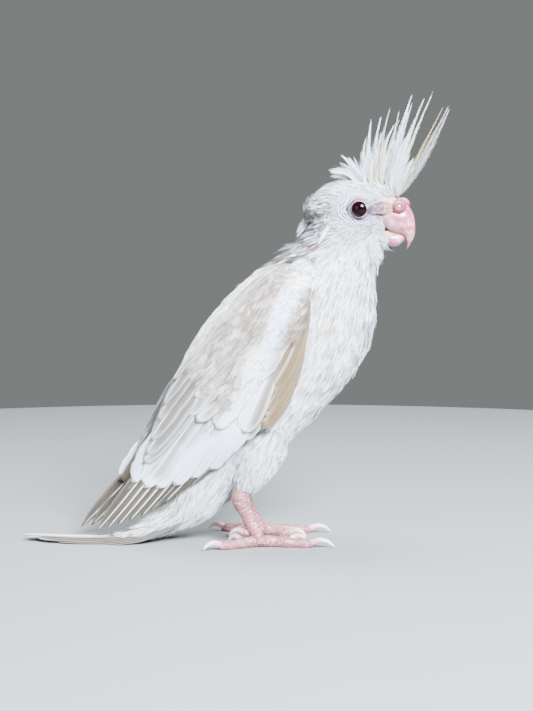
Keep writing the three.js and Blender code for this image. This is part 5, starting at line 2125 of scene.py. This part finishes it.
@dataclass
class Bill:
    """The hooked bill and the bare cere above it."""

    horn: HornFinish
    flesh: SkinFinish

    def half(self, track: Track, last: float, lower: bool) -> Shape:
        """Make one half of the bill.

        Args:
            track: Its sections.
            last: The last section.
            lower: Whether it is the lower half.

        Returns:
            Its shape.
        """
        points, faces, share, low = bill_form(track, last, lower, 90, 56)
        base = linear("#a0586a" if lower else "#a34459")
        flake = drift(points, 1.6, 41)
        colour = blend(base, linear("#c07b8c"), 0.6 * ramp(0.1, 0.8, drift(points, 3.5, 43)))
        rim = ramp(0.45, 0.98, (-low if lower else low) + 0.25 * flake)
        colour = blend(colour, linear("#b38250"), 0.9 * rim)
        colour = blend(colour, linear("#86293f"), (0.1 if lower else 0.55) * ramp(0.62, 1.0, share))
        points = points + 0.1 * ramp(0.3, 0.9, low)[:, None] * flake[:, None] * np.array([0, 1, 0])
        return Shape().add(head_out(points), faces, colour)

    def cere(self) -> Shape:
        """Make the cere with its two nostrils."""
        eggs = [Egg((67.6, s * 3.7, 133.9), 2.95, 3.2, 2.95, 2.95, 3.2) for s in (-1, 1)]
        eggs.append(Egg((67, 0, 134.5), 2.6, 4, 2.2, 3, 3.6))
        points, faces = fuse([egg.surface(40, 24) for egg in eggs], 0.2, 4)
        colour = blend(linear("#823543"), linear("#c48484"), 0.6 * ramp(134, 136.5, points[:, 2]))
        for s in (-1, 1):
            hole = np.array([68.4, s * 6.8, 134.3])
            off = np.linalg.norm(points - hole, axis=1)
            push = 0.8 * np.exp(-(((off - 0.8) / 0.4) ** 2)) + 0.15 * np.exp(-((off / 0.4) ** 2))
            points = points - push[:, None] * unit(hole - np.array([67.6, s * 3.7, 133.9]))
            # Painted shade darkens the sunken ring round the nostril, and a painted highlight lightens its
            # raised middle.
            broken = 0.35 + 0.65 * ramp(-0.5, 0.5, drift(points, 1.3, 51 + s))
            colour = blend(colour, linear("#8a3446"), 0.85 * broken * ramp(0.6, 0.15, np.abs(off - 1.0)))
            colour = blend(colour, linear("#ecd2cd"), ramp(0.75, 0.35, off))
            # Painted shade darkens a ring near the outline of each swelling of the cere, on its outer side.
            rim = np.hypot(points[:, 0] - 67.4, points[:, 2] - 133.9)
            outer = ramp(0.55, 0.1, np.abs(rim - 2.75)) * ramp(3.6, 4.8, points[:, 1] * s)
            colour = blend(colour, linear("#8c3c52"), 0.85 * outer)
        return Shape().add(head_out(points), faces, colour)

    def build(self) -> None:
        """Make the bill and the cere."""
        horn = self.horn.build()
        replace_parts(self.half(UPPER_BILL, 6, False).make("bill_upper_horn", horn, "bill_horn"), "bill_upper")
        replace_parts(self.half(LOWER_BILL, 4, True).make("bill_lower_horn", horn, "bill_horn"), "bill_lower")
        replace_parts(self.cere().make("cere_flesh", self.flesh.build(), "cere_skin"), "cere")


# The feet

FOOT_AT = (11, 12.5, 2.2)
# Half the width and half the height of a toe along it, in shares of its thickness.
TOE_GIRTH = [[0, 1, 1.02], [0.5, 0.92, 0.95], [0.85, 0.85, 0.85], [1, 0.72, 0.7]]


@dataclass(frozen=True)
class Toe:
    """One toe: its heading, size, claw and pads."""

    name: str
    aim: float
    length: float
    thick: float
    claw: float
    pads: int


TOES = (
    Toe("outer_front", -6, 21, 2.25, 9, 3),
    Toe("inner_front", 24, 14, 2.1, 7, 2),
    Toe("outer_back", -156, 17, 2.15, 7, 3),
    Toe("inner_back", 148, 9, 1.9, 6, 1),
)
SHANK = [[4, 11.5, 23], [3.6, 11.6, 19.6], [6.4, 12, 12], [10.6, 12.5, 3.6]]
SHANK_GIRTH = Track([[0, 3, 3], [0.2, 3.3, 3.6], [0.5, 2.3, 2.6], [0.85, 2.7, 2.7], [1, 3.2, 2.4]])
@dataclass(frozen=True)
class Girth:
    """A limb's girth, rippled by its scutes and swelling at each pad."""

    plain: Track
    scutes: float
    relief: float
    pads: int = 0
    swell: float = 0.0

    def __call__(self, share: Array) -> Array:
        """Give half the width and half the height at shares of the way."""
        scute = self.relief * (np.abs(np.sin(math.pi * self.scutes * share)) ** 0.6 - 0.6)
        pad = self.swell * np.cos(2 * math.pi * (self.pads * share - 0.5))
        return self.plain(share) * pack(1 + scute + pad, 1 + scute + 0.6 * pad)

@dataclass
class Feet:
    """The scaly shanks, toes and claws."""

    hide: SkinFinish
    horn: HornFinish

    def place(self, toe: Toe, side: Side, far: float, high: float) -> list[float]:
        """Find the place that is so far along a toe and so high above the floor."""
        aim = math.radians(toe.aim)
        out = side.value * (FOOT_AT[1] - far * math.sin(aim))
        return [FOOT_AT[0] + far * math.cos(aim), out, high]

    def clothe(self, shape: Shape, points: Array, faces: Array, high: float) -> None:
        """Add a part of the hide: pink below, dusty up to its given height."""
        points = np.maximum(points, [-np.inf, -np.inf, 0.01])
        colour = blend(linear("#96505e"), linear("#8c5a5c"), ramp(0.5, high, points[:, 2]))
        shape.add(points, faces, colour)

    def foot(self, side: Side) -> Shape:
        """Make a shank with its toes."""
        shape = Shape()
        self.clothe(shape, *limb(sided(SHANK, side), Girth(SHANK_GIRTH, 13, 0.05), 120, 32)[:2], 20)
        for toe in TOES:
            n, t = toe.length, toe.thick
            knots = ((0, 2.2), (0.35, 2), (0.7, 1.5), (1, 1.4))
            path = [self.place(toe, side, n * share, high) for share, high in knots]
            girth = Girth(Track(np.array(TOE_GIRTH) * [1, t, t]), n * 0.75, 0.045, toe.pads, 0.1)
            self.clothe(shape, *limb(path, girth, 100, 28)[:2], 3.5)
        middle = (FOOT_AT[0], side.value * FOOT_AT[1], FOOT_AT[2] + 0.2)
        self.clothe(shape, *Egg(middle, 3.4, 3.4, 2.2, 2.4, 3.1).surface(36, 24), 4)
        return shape

    def claws(self, side: Side) -> Shape:
        """Make a foot's four claws."""
        shape = Shape()
        girth = Track([[0, 1.15, 1.35], [0.35, 0.95, 1.15], [0.7, 0.6, 0.75], [1, 0.16, 0.18]])
        for toe in TOES:
            n, c = toe.length, toe.claw
            knots = ((-0.6, 1.9), (0.35 * c, 2.9), (0.72 * c, 2.2), (0.95 * c, 0.55))
            path = [self.place(toe, side, n + far, high) for far, high in knots]
            points, faces, share = limb(path, girth, 40, 20)
            points[:, 2] = np.maximum(points[:, 2], 0.02)
            shape.add(points, faces, blend(linear("#c98f8c"), linear("#e9d6cf"), ramp(0.2, 0.9, share)))
        return shape

    def build(self) -> None:
        """Make both feet."""
        hide, horn = self.hide.build(), self.horn.build()
        for side in Side:
            name = side.name.lower()
            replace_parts(self.foot(side).make("foot_hide_" + name, hide, "foot_skin"), "foot_" + name)
            piece = self.claws(side).make("claws_" + name, horn, "claw_horn")
            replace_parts(piece, *(f"claw_{toe.name}_{name}" for toe in TOES))


# Stage, light and camera

LIT = (13.8, 0, 80)
SEEN = Vector((13.8, 0, 74.6))
CAMERA_AWAY = 530


@dataclass
class Studio:
    """A pale round floor, soft light, a grey room and the camera."""

    floor: StageFinish

    def disc(self, name: str, radius: float, finish: StageFinish) -> None:
        """Make the round floor.

        Args:
            name: Its name.
            radius: Its radius in millimetres.
            finish: Its paint.
        """
        mesh = bpy.data.meshes.new(name)
        rim = pack(np.cos(around(128)), np.sin(around(128)), 0) * radius * MM
        mesh.from_pydata(rim.tolist(), [], [tuple(range(len(rim)))])
        mesh.materials.append(finish.build())
        piece = bpy.data.objects.new(name, mesh)
        bpy.context.scene.collection.objects.link(piece)

    def light(self, name: str, at: Sequence[float], size: float, watts: float, tone: str) -> None:
        """Hang a soft area light that points at the bird.

        Args:
            name: Its name.
            at: Its place in millimetres.
            size: Its width in millimetres.
            watts: Its power.
            tone: Its colour.
        """
        lamp = bpy.data.lights.new(name, "AREA")
        lamp.shape = "DISK"
        lamp.size = size * MM
        lamp.energy = watts
        lamp.color = tuple(linear(tone))
        item = bpy.data.objects.new(name, lamp)
        item.location = Vector(at) * MM
        item.rotation_euler = (Vector(LIT) - Vector(at)).to_track_quat("-Z", "Y").to_euler()
        bpy.context.scene.collection.objects.link(item)

    def build(self) -> None:
        """Set the stage."""
        self.disc("floor", 560, self.floor)
        self.light("key", (300, -640, 560), 400, 84.0, "#e6f0ff")
        self.light("fill", (-560, -560, 260), 600, 5.0, "#e4eeff")
        self.light("top", (0, 160, 800), 400, 14.0, "#eaf2ff")
        world = bpy.data.worlds.new("soft_room")
        world.use_nodes = True
        world.node_tree.nodes["Background"].inputs[0].default_value = (*linear("#7c807f"), 1)
        world.node_tree.nodes["Background"].inputs[1].default_value = 1.0
        bpy.context.scene.world = world
        camera = bpy.data.cameras.new("camera")
        camera.sensor_width = 36
        camera.lens = 67.09
        camera.clip_start = 0.01
        item = bpy.data.objects.new("camera", camera)
        rise = math.radians(3.5)
        place = SEEN + Vector((0, -math.cos(rise), math.sin(rise))) * CAMERA_AWAY
        item.location = place * MM
        item.rotation_euler = (SEEN - place).to_track_quat("-Z", "Y").to_euler()
        bpy.context.scene.collection.objects.link(item)
        bpy.context.scene.camera = item


def main() -> None:
    """Build every piece in order."""
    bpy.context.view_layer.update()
    plume = FeatherFinish("soft_body_feathers", 0.16, 0.4, 0.75, 0.35)
    blade = FeatherFinish("firm_wing_feathers", 0.3, 0.4, 0.6, 0.45)
    down = SkinFinish("down_over_skin", 0.7, 0.4, 0.85)
    coat = Plumage(plume, down).build()
    vanes = blade.build()
    soft = bpy.data.materials["soft_body_feathers"]
    Wing(Side.RIGHT, vanes, soft, 21).build()
    Wing(Side.LEFT, vanes, soft, 22).build()
    Tail(vanes).build()
    Crest(soft).build()
    lid = SkinFinish("creased_lid_skin", 0.35, 0.5, 0.55, speck=0.1)
    cere = SkinFinish("bare_cere_flesh", 0.4, 0.35, 0.45, 0.2)
    Eyes(EyeFinish("wet_eyeball"), lid, soft, coat).build()
    Bill(HornFinish("grown_bill_horn", 0.38, 0.5), cere).build()
    hide = SkinFinish("scaly_foot_hide", 1.0, 0.9, 0.5, 0.1, 0.6, 0.8)
    Feet(hide, HornFinish("pale_claw_horn", 0.3, 0.4)).build()
    Studio(StageFinish("pale_floor_board", "#7d7f7c")).build()


if __name__ == "__main__":
    main()
